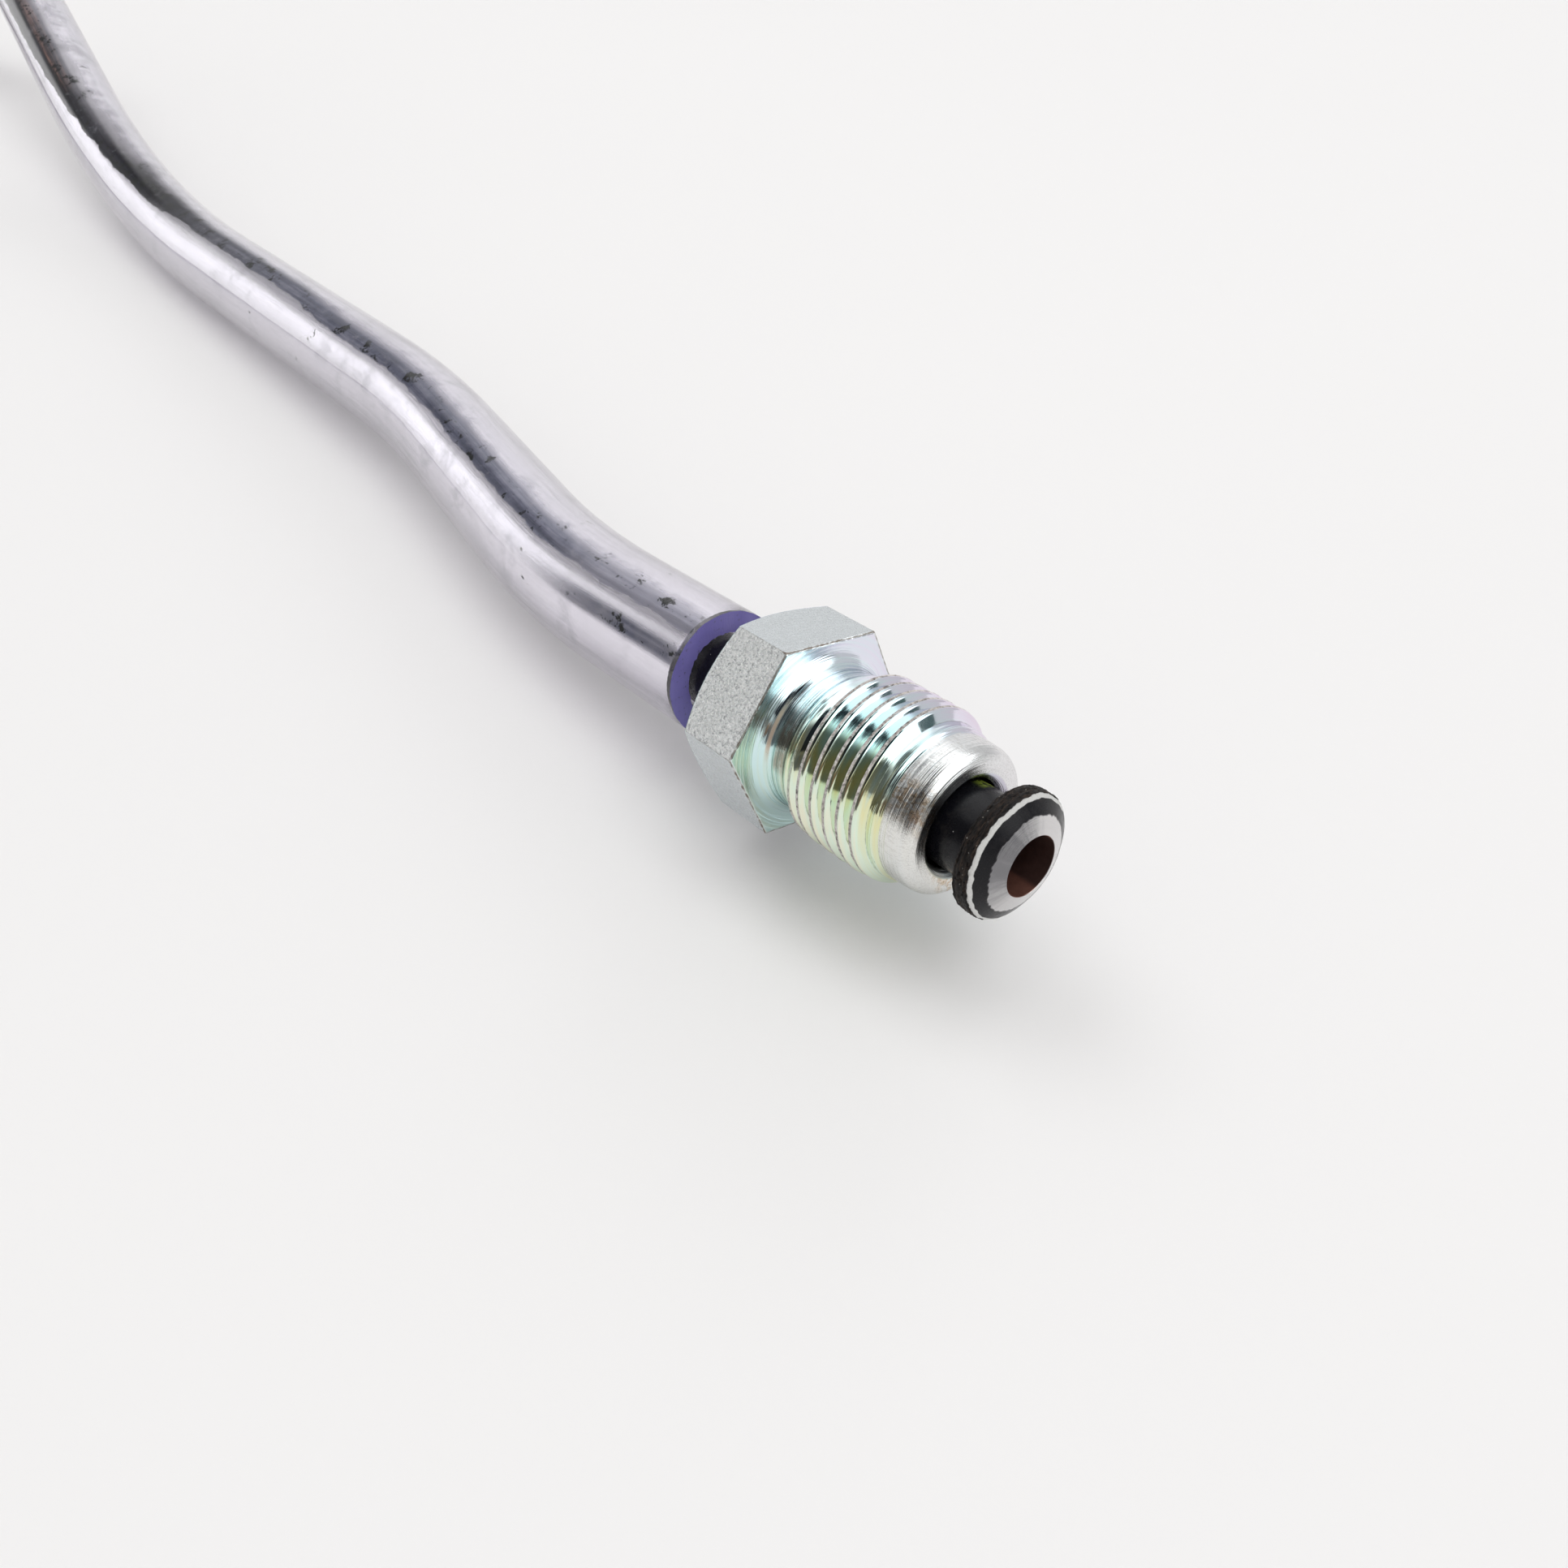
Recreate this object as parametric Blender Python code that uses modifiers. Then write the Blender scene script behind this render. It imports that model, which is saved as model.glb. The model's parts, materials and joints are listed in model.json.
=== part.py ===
"""Formed steel brake line: a coated tube with a bubble flare and a loose tube nut at each end,
and a clear protective sleeve over the run between the nuts.

The line lies on the floor as it comes to rest. X runs along its longest reach, Z is up, and the
origin is on the floor under the middle of its footprint.
"""

import math

import bmesh
import bpy
from mathutils import Matrix, Vector

MM = 0.001

# Tube
TUBE_DIAMETER = 4.75 * MM
TUBE_WALL = 0.71 * MM
TUBE_SIDES = 20

# Bubble flare at each end, measured back from the tip
FLARE_DIAMETER = 7.1 * MM
FLARE_SEAT_ANGLE = math.radians(117)
FLARE_TIP_ANGLE = math.radians(136)
FLARE_TIP_DIAMETER = 5.1 * MM
FLARE_RIM_WIDTH = 1.12 * MM
FLARE_RIM_ROUND = 0.15 * MM
FLARE_LAND = 0.05 * MM

# Clear sleeve
SLEEVE_DIAMETER = 8.0 * MM
SLEEVE_CLEARANCE = 0.15 * MM
SLEEVE_BARE_TUBE = 3.9 * MM
SLEEVE_SIDES = 20

# Tube nut: its own axis is Z, Z = 0 is the hexagon's front face and the nose points to +Z
HEX_ACROSS_FLATS = 11.0 * MM
HEX_SIDES = 6
HEX_LENGTH = 4.6 * MM
HEX_BACK_FACE_DIAMETER = 10.2 * MM
HEX_CHAMFER_ANGLE = math.radians(30)
NECK_DIAMETER = 8.4 * MM
NECK_LENGTH = 2.2 * MM
NECK_FILLET = 1.0 * MM
THREAD_DIAMETER = 10.0 * MM
THREAD_PITCH = 1.0 * MM
THREAD_DEPTH = 0.61 * MM
THREAD_LENGTH = 6.6 * MM
THREAD_CREST_WIDTH = 0.28 * MM
THREAD_ROOT_WIDTH = 0.2 * MM
THREAD_RUNOUT_TURNS = 0.4
NOSE_DIAMETER = 8.4 * MM
NOSE_LENGTH = 2.36 * MM
NOSE_ROUND = 0.6 * MM
NUT_CLEARANCE = 0.15 * MM
NUT_MOUTH_BEVEL = 0.28 * MM
NUT_TO_FLARE = 2.2 * MM
NUT_STEPS = 28
ROUND_STEPS = 4

# How far each nut is turned from having a corner straight up
FRONT_NUT_TURN = math.radians(18.2)
REAR_NUT_TURN = math.radians(30)

# Route of the centreline: where its straight runs would meet. Each point gives X, Y and how high
# the sleeve's underside would be over the floor there. The last run rests on the rear nut's flat,
# and its slope carries the tip a little higher than its nut.
REAR_NUT_LIFT = (HEX_ACROSS_FLATS - SLEEVE_DIAMETER) / 2
REAR_TIP_RISE = 0.25 * MM
RUN_MEETINGS = (
    (146.5 * MM, -107.9 * MM, 5.12 * MM),
    (120.1 * MM, -76.5 * MM, 1.71 * MM),
    (105.3 * MM, -51.2 * MM, 1.84 * MM),
    (60.8 * MM, 5.1 * MM, -0.89 * MM),
    (20.9 * MM, 71.7 * MM, 18.37 * MM),
    (-37.3 * MM, 112.7 * MM, -0.35 * MM),
    (-147.3 * MM, 30.7 * MM, REAR_NUT_LIFT + REAR_TIP_RISE),
)
BEND_RADII = (70.0 * MM, 97.5 * MM, 174.0 * MM, 40.0 * MM, 30.0 * MM)
BEND_STEP = math.radians(5)

# How far a cutter runs past what it cuts, how near points are welded, and what counts as an edge
CUT_OVERRUN = 3.0 * MM
WELD = 0.001 * MM
SHARP_EDGE = math.radians(35)

# Finishes: colour, metallic, roughness, opacity
ZINC = ((0.70, 0.74, 0.72), 1.0, 0.30, 1.0)
BLACK_COAT = ((0.018, 0.018, 0.020), 0.0, 0.42, 1.0)
CLEAR_PVC = ((0.66, 0.62, 0.80), 0.0, 0.12, 0.35)


def clear_scene():
    for obj in list(bpy.data.objects):
        bpy.data.objects.remove(obj)


def new_collection(name):
    collection = bpy.data.collections.new(name)
    bpy.context.scene.collection.children.link(collection)
    return collection


def make_material(name, finish):
    colour, metallic, roughness, opacity = finish
    material = bpy.data.materials.new(name)
    material.use_nodes = True
    shader = material.node_tree.nodes["Principled BSDF"]
    shader.inputs["Base Color"].default_value = (*colour, 1)
    shader.inputs["Metallic"].default_value = metallic
    shader.inputs["Roughness"].default_value = roughness
    shader.inputs["Alpha"].default_value = opacity
    material.diffuse_color = (*colour, opacity)
    return material


def add_object(name, mesh, collection):
    obj = bpy.data.objects.new(name, mesh)
    collection.objects.link(obj)
    return obj


def as_tool(obj):
    """A tool shapes other pieces and isn't part of the model."""
    obj.hide_render = True
    obj.display_type = "WIRE"
    return obj


def evaluated(obj):
    return obj.evaluated_get(bpy.context.evaluated_depsgraph_get())


def boolean(obj, tool, operation):
    modifier = obj.modifiers.new(f"{operation.lower()} {tool.name}", "BOOLEAN")
    modifier.operation = operation
    modifier.object = tool
    modifier.solver = "EXACT"


# Route


def bend(before, corner, after, radius):
    """Points round one bend, from its first to its last."""
    back = (before - corner).normalized()
    ahead = (after - corner).normalized()
    turn = math.pi - back.angle(ahead)
    centre = corner + (back + ahead).normalized() * radius / math.cos(turn / 2)
    start = corner + back * radius * math.tan(turn / 2)
    axis = back.cross(ahead)
    count = max(2, math.ceil(turn / BEND_STEP))
    spokes = [Matrix.Rotation(-turn * i / count, 3, axis) for i in range(count + 1)]
    return [centre + spoke @ (start - centre) for spoke in spokes]


def centreline():
    """The line's centre from the front flare's tip to the rear flare's tip."""
    corners = [Vector((x, y, lift + SLEEVE_DIAMETER / 2)) for x, y, lift in RUN_MEETINGS]
    points = [corners[0]]
    for i, radius in enumerate(BEND_RADII, start=1):
        points += bend(corners[i - 1], corners[i], corners[i + 1], radius)
    return points + [corners[-1]]


def step_in(tip, inward, distance):
    """A point on the line's straight end, a distance in from its tip."""
    return tip + (inward - tip).normalized() * distance


def between(line, distance):
    """The line without its last stretch, of that length, at each end."""
    first = step_in(line[0], line[1], distance)
    last = step_in(line[-1], line[-2], distance)
    return [first] + line[1:-1] + [last]


def overrun(points):
    """The same line carried straight on past both of its ends."""
    first = (points[0] - points[1]).normalized() * CUT_OVERRUN
    last = (points[-1] - points[-2]).normalized() * CUT_OVERRUN
    return [points[0] + first] + points[1:-1] + [points[-1] + last]


def swept_rod(name, points, radii, sides, collection):
    """A solid round rod along a line of points, with its own radius at each point."""
    curve = bpy.data.curves.new(name, "CURVE")
    curve.dimensions = "3D"
    curve.bevel_depth = max(radii)
    curve.bevel_resolution = sides // 2 - 2
    curve.use_fill_caps = True
    spline = curve.splines.new("POLY")
    spline.points.add(len(points) - 1)
    for point, place, radius in zip(spline.points, points, radii):
        point.co = (*place, 1)
        point.radius = radius / curve.bevel_depth
    return curve_to_mesh(add_object(name, curve, collection), collection)


def curve_to_mesh(rod, collection):
    """A curve made into a closed mesh object of the same name."""
    mesh = bpy.data.meshes.new_from_object(evaluated(rod))
    shape = bmesh.new()
    shape.from_mesh(mesh)
    bmesh.ops.remove_doubles(shape, verts=shape.verts, dist=WELD)
    bmesh.ops.recalc_face_normals(shape, faces=shape.faces)
    shape.to_mesh(mesh)
    shape.free()
    name = rod.name
    place = rod.matrix_world.copy()
    bpy.data.objects.remove(rod)
    obj = add_object(name, mesh, collection)
    obj.matrix_world = place
    return obj


# Tube and sleeve


def flare_profile():
    """The flare's outline: distance back from its tip, and radius there."""
    bore_radius = TUBE_DIAMETER / 2 - TUBE_WALL
    land_radius = bore_radius + FLARE_LAND
    tip_radius = FLARE_TIP_DIAMETER / 2
    rim_radius = FLARE_DIAMETER / 2
    tip_back = (tip_radius - land_radius) / math.tan(FLARE_TIP_ANGLE / 2)
    seat_back = tip_back + (rim_radius - FLARE_RIM_ROUND - tip_radius) / math.tan(FLARE_SEAT_ANGLE / 2)
    rim_back = seat_back + FLARE_RIM_WIDTH
    return [
        (0.0, land_radius),
        (tip_back, tip_radius),
        (seat_back, rim_radius - FLARE_RIM_ROUND),
        (seat_back + FLARE_RIM_ROUND, rim_radius),
        (rim_back - FLARE_RIM_ROUND, rim_radius),
        (rim_back, rim_radius - FLARE_RIM_ROUND),
        (rim_back + FLARE_RIM_ROUND, TUBE_DIAMETER / 2),
    ]


def nut_place():
    """Distance from the flare's tip back to the hexagon's front face."""
    flare_back = flare_profile()[-2][0]
    return flare_back + NUT_TO_FLARE + NOSE_LENGTH + THREAD_LENGTH + NECK_LENGTH


def make_tube(line, parts, tools):
    flare = flare_profile()
    backs = [back for back, _ in flare]
    flare_radii = [radius for _, radius in flare]
    front = [step_in(line[0], line[1], back) for back in backs]
    rear = [step_in(line[-1], line[-2], back) for back in reversed(backs)]
    places = front + line[1:-1] + rear
    radii = flare_radii + [TUBE_DIAMETER / 2] * (len(line) - 2) + flare_radii[::-1]
    tube = swept_rod("brake_tube", places, radii, TUBE_SIDES, parts)
    path = overrun(line)
    bore_radius = TUBE_DIAMETER / 2 - TUBE_WALL
    bore = swept_rod("tube_bore", path, [bore_radius] * len(path), TUBE_SIDES, tools)
    boolean(tube, as_tool(bore), "DIFFERENCE")
    return tube


def make_sleeve(line, parts, tools):
    path = between(line, nut_place() + HEX_LENGTH + SLEEVE_BARE_TUBE)
    sleeve = swept_rod("protective_sleeve", path, [SLEEVE_DIAMETER / 2] * len(path), SLEEVE_SIDES, parts)
    cut = overrun(path)
    bore_radius = TUBE_DIAMETER / 2 + SLEEVE_CLEARANCE
    bore = swept_rod("sleeve_bore", cut, [bore_radius] * len(cut), SLEEVE_SIDES, tools)
    boolean(sleeve, as_tool(bore), "DIFFERENCE")
    return sleeve


# Nut


def turned(name, profile, collection):
    """A turned solid from (radius, height) points that run down its outer side."""
    mesh = bpy.data.meshes.new(name)
    count = len(profile)
    mesh.from_pydata([(r, 0, z) for r, z in profile], [(i, i + 1) for i in range(count - 1)], [])
    obj = add_object(name, mesh, collection)
    screw = obj.modifiers.new("turn", "SCREW")
    screw.steps = NUT_STEPS
    screw.render_steps = NUT_STEPS
    screw.use_merge_vertices = True
    screw.merge_threshold = WELD
    return obj


def quarter_round(centre_radius, centre_height, radius, start, end):
    """Points of an arc in the profile's plane, between two angles in degrees from straight out."""
    angles = [math.radians(start + (end - start) * i / ROUND_STEPS) for i in range(ROUND_STEPS + 1)]
    return [(centre_radius + radius * math.cos(a), centre_height + radius * math.sin(a)) for a in angles]


def shank_profile():
    """The nut's nose, thread core and neck, down to inside the hexagon."""
    nose = NOSE_DIAMETER / 2
    neck = NECK_DIAMETER / 2
    core = THREAD_DIAMETER / 2 - THREAD_DEPTH
    thread_top = NECK_LENGTH + THREAD_LENGTH
    top = thread_top + NOSE_LENGTH
    seat = HEX_LENGTH / 2
    profile = [(0.0, top)]
    profile += reversed(quarter_round(nose - NOSE_ROUND, top - NOSE_ROUND, NOSE_ROUND, 0, 90))
    profile += [(nose, thread_top + (core - nose)), (core, thread_top)]
    profile += [(core, NECK_LENGTH), (neck, NECK_LENGTH - (core - neck))]
    profile += quarter_round(neck + NECK_FILLET, NECK_FILLET, NECK_FILLET, 180, 270)
    profile += [(neck + NECK_FILLET, -seat), (0.0, -seat)]
    return profile


def make_thread(tools):
    """The thread's ridge: a section carried along a helix, fading out at both ends."""
    core = THREAD_DIAMETER / 2 - THREAD_DEPTH
    crest = THREAD_CREST_WIDTH / 2
    root = (THREAD_PITCH - THREAD_ROOT_WIDTH) / 2
    sink = THREAD_DEPTH / 3
    sunk = root + (root - crest) / THREAD_DEPTH * sink
    section = bpy.data.curves.new("thread_section", "CURVE")
    section.dimensions = "2D"
    corners = ((-sink, -sunk), (THREAD_DEPTH, -crest), (THREAD_DEPTH, crest), (-sink, sunk))
    outline = section.splines.new("POLY")
    outline.points.add(len(corners) - 1)
    outline.use_cyclic_u = True
    for point, (out, along) in zip(outline.points, corners):
        point.co = (out, along, 0, 1)
    section_object = as_tool(add_object("thread_section", section, tools))

    turns = THREAD_LENGTH / THREAD_PITCH - 1
    count = round(turns * NUT_STEPS)
    curve = bpy.data.curves.new("thread_ridge", "CURVE")
    curve.dimensions = "3D"
    curve.twist_mode = "Z_UP"
    curve.bevel_mode = "OBJECT"
    curve.bevel_object = section_object
    curve.use_fill_caps = True
    spline = curve.splines.new("POLY")
    spline.points.add(count)
    for i, point in enumerate(spline.points):
        turn = turns * i / count
        angle = 2 * math.pi * i / NUT_STEPS
        height = NECK_LENGTH + THREAD_PITCH * (turn + 0.5)
        point.co = (core * math.cos(angle), core * math.sin(angle), height, 1)
        point.radius = min(1.0, 0.35 + min(turn, turns - turn) / THREAD_RUNOUT_TURNS)
    return as_tool(curve_to_mesh(add_object("thread_ridge", curve, tools), tools))


def hex_chamfer_profile():
    """A turned blank whose lower edge is bevelled, which rounds the hexagon's back corners."""
    outside = HEX_ACROSS_FLATS
    face = HEX_BACK_FACE_DIAMETER / 2
    rise = (outside - face) * math.tan(HEX_CHAMFER_ANGLE)
    return [
        (0.0, CUT_OVERRUN),
        (outside, CUT_OVERRUN),
        (outside, -HEX_LENGTH + rise),
        (face, -HEX_LENGTH),
        (0.0, -HEX_LENGTH),
    ]


def nut_bore_profile():
    bore = TUBE_DIAMETER / 2 + NUT_CLEARANCE
    top = NECK_LENGTH + THREAD_LENGTH + NOSE_LENGTH
    bottom = -HEX_LENGTH
    wide = bore + NUT_MOUTH_BEVEL
    return [
        (0.0, top + CUT_OVERRUN),
        (wide + CUT_OVERRUN, top + CUT_OVERRUN),
        (bore, top - NUT_MOUTH_BEVEL),
        (bore, bottom + NUT_MOUTH_BEVEL),
        (wide + CUT_OVERRUN, bottom - CUT_OVERRUN),
        (0.0, bottom - CUT_OVERRUN),
    ]


def make_nut_mesh(tools):
    """One nut at the origin, made from a hexagonal bar. Both nuts share it."""
    shape = bmesh.new()
    bar = HEX_LENGTH + CUT_OVERRUN
    half_side = math.pi / HEX_SIDES
    corner = HEX_ACROSS_FLATS / 2 / math.cos(half_side)
    bmesh.ops.create_cone(
        shape,
        cap_ends=True,
        segments=HEX_SIDES,
        radius1=corner,
        radius2=corner,
        depth=bar,
        matrix=Matrix.Translation((0, 0, -bar / 2)) @ Matrix.Rotation(half_side, 4, "Z"),
    )
    mesh = bpy.data.meshes.new("hex_bar")
    shape.to_mesh(mesh)
    shape.free()
    blank = as_tool(add_object("hex_bar", mesh, tools))
    boolean(blank, as_tool(turned("hex_chamfer", hex_chamfer_profile(), tools)), "INTERSECT")
    boolean(blank, as_tool(turned("shank", shank_profile(), tools)), "UNION")
    boolean(blank, make_thread(tools), "UNION")
    boolean(blank, as_tool(turned("nut_bore", nut_bore_profile(), tools)), "DIFFERENCE")
    return bpy.data.meshes.new_from_object(evaluated(blank))


def place_nut(name, mesh, tip, inward, turn, parts):
    """A nut behind the flare whose tip is given, its nose to the flare and a corner turned from up."""
    axis = (tip - inward).normalized()
    up = (Vector((0, 0, 1)) - axis * axis.z).normalized()
    side = axis.cross(up)
    facing = Matrix((up, side, axis)).transposed()
    nut = add_object(name, mesh, parts)
    place = Matrix.Translation(tip - axis * nut_place())
    nut.matrix_world = place @ facing.to_4x4() @ Matrix.Rotation(turn, 4, "Z")
    return nut


def main():
    clear_scene()
    parts = new_collection("brake_line")
    tools = new_collection("tools")
    root = bpy.data.objects.new("brake_line_origin", None)
    parts.objects.link(root)

    line = centreline()
    nut_mesh = make_nut_mesh(tools)
    pieces = (
        (make_tube(line, parts, tools), BLACK_COAT),
        (make_sleeve(line, parts, tools), CLEAR_PVC),
        (place_nut("front_tube_nut", nut_mesh, line[0], line[1], FRONT_NUT_TURN, parts), ZINC),
        (place_nut("rear_tube_nut", nut_mesh.copy(), line[-1], line[-2], REAR_NUT_TURN, parts), ZINC),
    )
    for obj, finish in pieces:
        obj.data.materials.clear()
        obj.data.materials.append(make_material(obj.name, finish))
        obj.data.shade_smooth()
        obj.data.set_sharp_from_angle(angle=SHARP_EDGE)
        obj.parent = root


main()
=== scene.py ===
"""Looks of the formed brake line: a coated tube with a bubble flare at each end, two loose tube
nuts with fine threads, and a clear sleeve over the run between them, lying on pale paper.

Lengths are written in millimetres and turned into metres as they enter Blender.
"""

import json
import math

import bpy
import numpy as np
from mathutils import Matrix, Vector, noise

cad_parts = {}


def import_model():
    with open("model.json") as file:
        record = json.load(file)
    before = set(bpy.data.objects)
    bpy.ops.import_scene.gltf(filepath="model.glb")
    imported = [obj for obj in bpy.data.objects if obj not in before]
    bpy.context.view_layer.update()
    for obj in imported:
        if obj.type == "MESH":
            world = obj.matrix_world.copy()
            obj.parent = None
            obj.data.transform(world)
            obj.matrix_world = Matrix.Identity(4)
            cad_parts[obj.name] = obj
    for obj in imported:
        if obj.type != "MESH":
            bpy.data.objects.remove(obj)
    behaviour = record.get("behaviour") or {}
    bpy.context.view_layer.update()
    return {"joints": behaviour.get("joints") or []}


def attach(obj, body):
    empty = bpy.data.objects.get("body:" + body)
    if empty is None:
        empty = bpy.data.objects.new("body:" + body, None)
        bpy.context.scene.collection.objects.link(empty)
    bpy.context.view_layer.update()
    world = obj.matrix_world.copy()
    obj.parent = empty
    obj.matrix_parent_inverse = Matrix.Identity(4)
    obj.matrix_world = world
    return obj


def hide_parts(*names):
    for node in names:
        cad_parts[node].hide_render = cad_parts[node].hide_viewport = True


MM = 0.001
FULL_TURN = 2 * math.pi
SIXTH_TURN = math.pi / 3

# Route of the centreline, in mm: its two tips and where its straight runs would meet, with the
# height of the sleeve's underside there, and the radius of each bend
SLEEVE_RADIUS = 4.0
RUN_MEETINGS = (
    (146.5, -107.9, 5.12),
    (120.1, -76.5, 1.71),
    (105.3, -51.2, 1.84),
    (60.8, 5.1, -0.89),
    (20.9, 71.7, 18.37),
    (-37.3, 112.7, -0.35),
    (-147.3, 30.7, 1.75),
)
BEND_RADII = (70.0, 97.5, 174.0, 40.0, 30.0)
BEND_STEP = math.radians(1)
AXIS_REACH = 0.4

# Tube and flare, in mm: the flare's outline as (distance back from the tip, radius), over its
# rounded tip and seat, its rim, and its back down to the tube
TUBE_RADIUS = 2.375
BORE_RADIUS = 1.665
RIM_FRONT = 1.01
FLARE_END = 2.4
FLARE_OUTLINE = (
    (0.0, 1.71),
    (0.34, 2.55),
    (0.86, 3.40),
    (RIM_FRONT, 3.55),
    (1.83, 3.55),
    (1.98, 3.40),
    (2.13, TUBE_RADIUS),
    (FLARE_END, TUBE_RADIUS),
)
FLARE_ROW = 0.045
FLARE_SIDES = 256
TUBE_SIDES = 64
TUBE_ROW = 0.9
BORE_ROWS = 150
FRONT_FLARE_SEED = 11
REAR_FLARE_SEED = 29

# Wear of the flare, in mm and radians: the coating ends at the steel's edge, which a chip pushes
# outward, a pale ring lies on the seat, and the rim is torn down to these depths
STEEL_EDGE = 2.60
STEEL_DEPTH = 0.025
CHIP_ANGLE = math.radians(128)
CHIP_WIDTH = 0.45
CHIP_REACH = 0.10
PALE_RING = 3.36
PALE_WIDTH = 0.11
RIM_DEPTH = 0.035
RIM_FLAKES = 0.060
RIM_TEARS = 0.070
RIM_GROOVES = 0.05
RIM_GROOVE_PITCH = 0.37

# Sleeve, in mm: it clings to the tube, apart from its mouths
SLEEVE_START = 23.84
SLEEVE_CLING = 2.36
SLEEVE_MOUTH = 2.62
SLEEVE_MOUTH_DEPTH = 1.4
SLEEVE_MOUTH_ROWS = (0.25, 0.6, 1.0, SLEEVE_MOUTH_DEPTH)
SLEEVE_WALL_TRIM = 0.03
SLEEVE_WAVE = 0.022
SLEEVE_SLANT = 0.07
SLEEVE_LIP = 0.02
SLEEVE_TORN = 0.06
SLEEVE_END_ROWS = (0.0, 0.06, 0.2, 0.5)
SLEEVE_SIDES = 96
SLEEVE_ROW = 0.9

# Nut, in mm: Z runs from the hexagon's front face to the nose, a corner of the hexagon is on +X
HEX_ACROSS_FLATS = 11.0
HEX_LENGTH = 4.6
HEX_BACK_RADIUS = 5.1
HEX_CHAMFER = math.tan(math.radians(30))
HEX_CORNER_SOFTNESS = 25.0
HEX_EDGE_BEVEL = 0.07
HEX_PITS = 0.022
ROUGH_SECTOR = 0
SMOOTH_FLAT_SHARE = 0.22
CHAMFER_ROWS = 6
FLAT_ROWS = 44
FACE_RADIUS = 5.2
FILLET_RADIUS = 1.0
NECK_RADIUS = 4.2
THREAD_START = 2.2
THREAD_TOP = 8.8
THREAD_PITCH = 1.0
THREAD_RADIUS = 5.0
THREAD_CORE = 4.39
THREAD_CREST = 0.17
THREAD_SHOULDER = 0.17
THREAD_SHOULDER_DROP = 0.085
THREAD_SHOULDER_TURN = math.radians(60)
THREAD_FLANK_SLOPE = math.tan(math.radians(60))
THREAD_FADE_TURNS = 0.45
THREAD_TRIM = 0.03
HELIX_BOTTOM = 1.75
HELIX_TOP = 9.15
NOSE_TOP = 11.16
NOSE_SIDE = ((4.21, 9.4), (4.21, 9.7), (4.20, 10.0), (4.18, 10.25))
NOSE_ROUND = 0.85
NOSE_FACE_RADIUS = 3.0
NUT_BORE = 2.525

# The crest's outline as (share of its width, share of the thread's depth), and its wear in mm
THREAD_LIP = ((0, 1.0), (0.14, 1.012), (0.3, 1.015), (0.5, 1.0), (0.7, 1.01), (0.88, 1.012), (1, 1.0))
CREST_BURR = 0.028
CREST_WANDER = 0.030
CREST_LUMP = 0.05

# Bevels at the bore's mouths, as (out from the bore, in from the face), in mm
BACK_MOUTH = ((0.0, 0.28), (0.14, 0.1), (0.28, 0.0))
NOSE_MOUTH = ((0.38, 0.03), (0.32, 0.07), (0.16, 0.22), (0.05, 0.36), (0.0, 0.44))

FRONT_NUT_TURN = math.radians(18.2)
REAR_NUT_TURN = math.radians(30)
FRONT_NUT_SEED = 51
REAR_NUT_SEED = 87

# What the nut's points are marked with, for its material
NUT_MARKS = ("turned", "flat", "rough", "edge", "nose", "mouth", "crest", "root")

# Angles of the nut's points: closer together towards the hexagon's corners
SECTOR_DEGREES = np.concatenate([[0, 0.35, 0.8, 1.5], np.linspace(2.6, 57.4, 44), [58.5, 59.2, 59.65]])
NUT_ANGLES = np.concatenate([np.radians(SECTOR_DEGREES) + k * SIXTH_TURN for k in range(6)])

# The photograph's camera
CAMERA_PLACE = (134.7, -153.3, 53.83)
CAMERA_PITCH = math.radians(41)
CAMERA_FOCAL_SHARE = 1643.4 / 1932
SENSOR_WIDTH = 36.0


# Route


def bend(before, corner, after, radius):
    """Points round one bend, from its first to its last."""
    back = (before - corner).normalized()
    ahead = (after - corner).normalized()
    turn = math.pi - back.angle(ahead)
    centre = corner + (back + ahead).normalized() * radius / math.cos(turn / 2)
    start = corner + back * radius * math.tan(turn / 2)
    axis = back.cross(ahead)
    count = max(2, math.ceil(turn / BEND_STEP))
    spokes = [Matrix.Rotation(-turn * i / count, 3, axis) for i in range(count + 1)]
    return [centre + spoke @ (start - centre) for spoke in spokes]


def centreline():
    """The line's centre from the front flare's tip to the rear flare's tip, in mm."""
    corners = [Vector((x, y, lift + SLEEVE_RADIUS)) for x, y, lift in RUN_MEETINGS]
    points = [corners[0]]
    for i, radius in enumerate(BEND_RADII, start=1):
        points += bend(corners[i - 1], corners[i], corners[i + 1], radius)
    return np.array(points + [corners[-1]])


class Line:
    """Places along the centreline by distance from the front tip."""

    def __init__(self):
        self.points = centreline()
        steps = np.linalg.norm(np.diff(self.points, axis=0), axis=1)
        self.along = np.concatenate([[0], np.cumsum(steps)])
        self.length = self.along[-1]

    def at(self, distance):
        """The place, and the up, side and axis directions there. Axis points to the front tip."""
        ahead = self.point(min(distance + AXIS_REACH, self.length))
        behind = self.point(max(distance - AXIS_REACH, 0))
        axis = (behind - ahead) / np.linalg.norm(behind - ahead)
        up = np.array([0, 0, 1]) - axis * axis[2]
        up /= np.linalg.norm(up)
        return self.point(distance), up, np.cross(axis, up), axis

    def point(self, distance):
        return np.array([np.interp(distance, self.along, self.points[:, i]) for i in range(3)])


# Meshes


def turn_angles(count):
    return np.arange(count) * FULL_TURN / count


def round_points(angles, radius, height):
    """One point for each angle, at a radius and a height that are numbers or arrays."""
    height = np.broadcast_to(height, len(angles))
    return np.stack([radius * np.cos(angles), radius * np.sin(angles), height], axis=1)


def smooth(low, high, value):
    """A soft step from 0 to 1 between two values, as numbers or arrays."""
    t = np.clip((value - low) / (high - low), 0, 1)
    return t * t * (3 - 2 * t)


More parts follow.
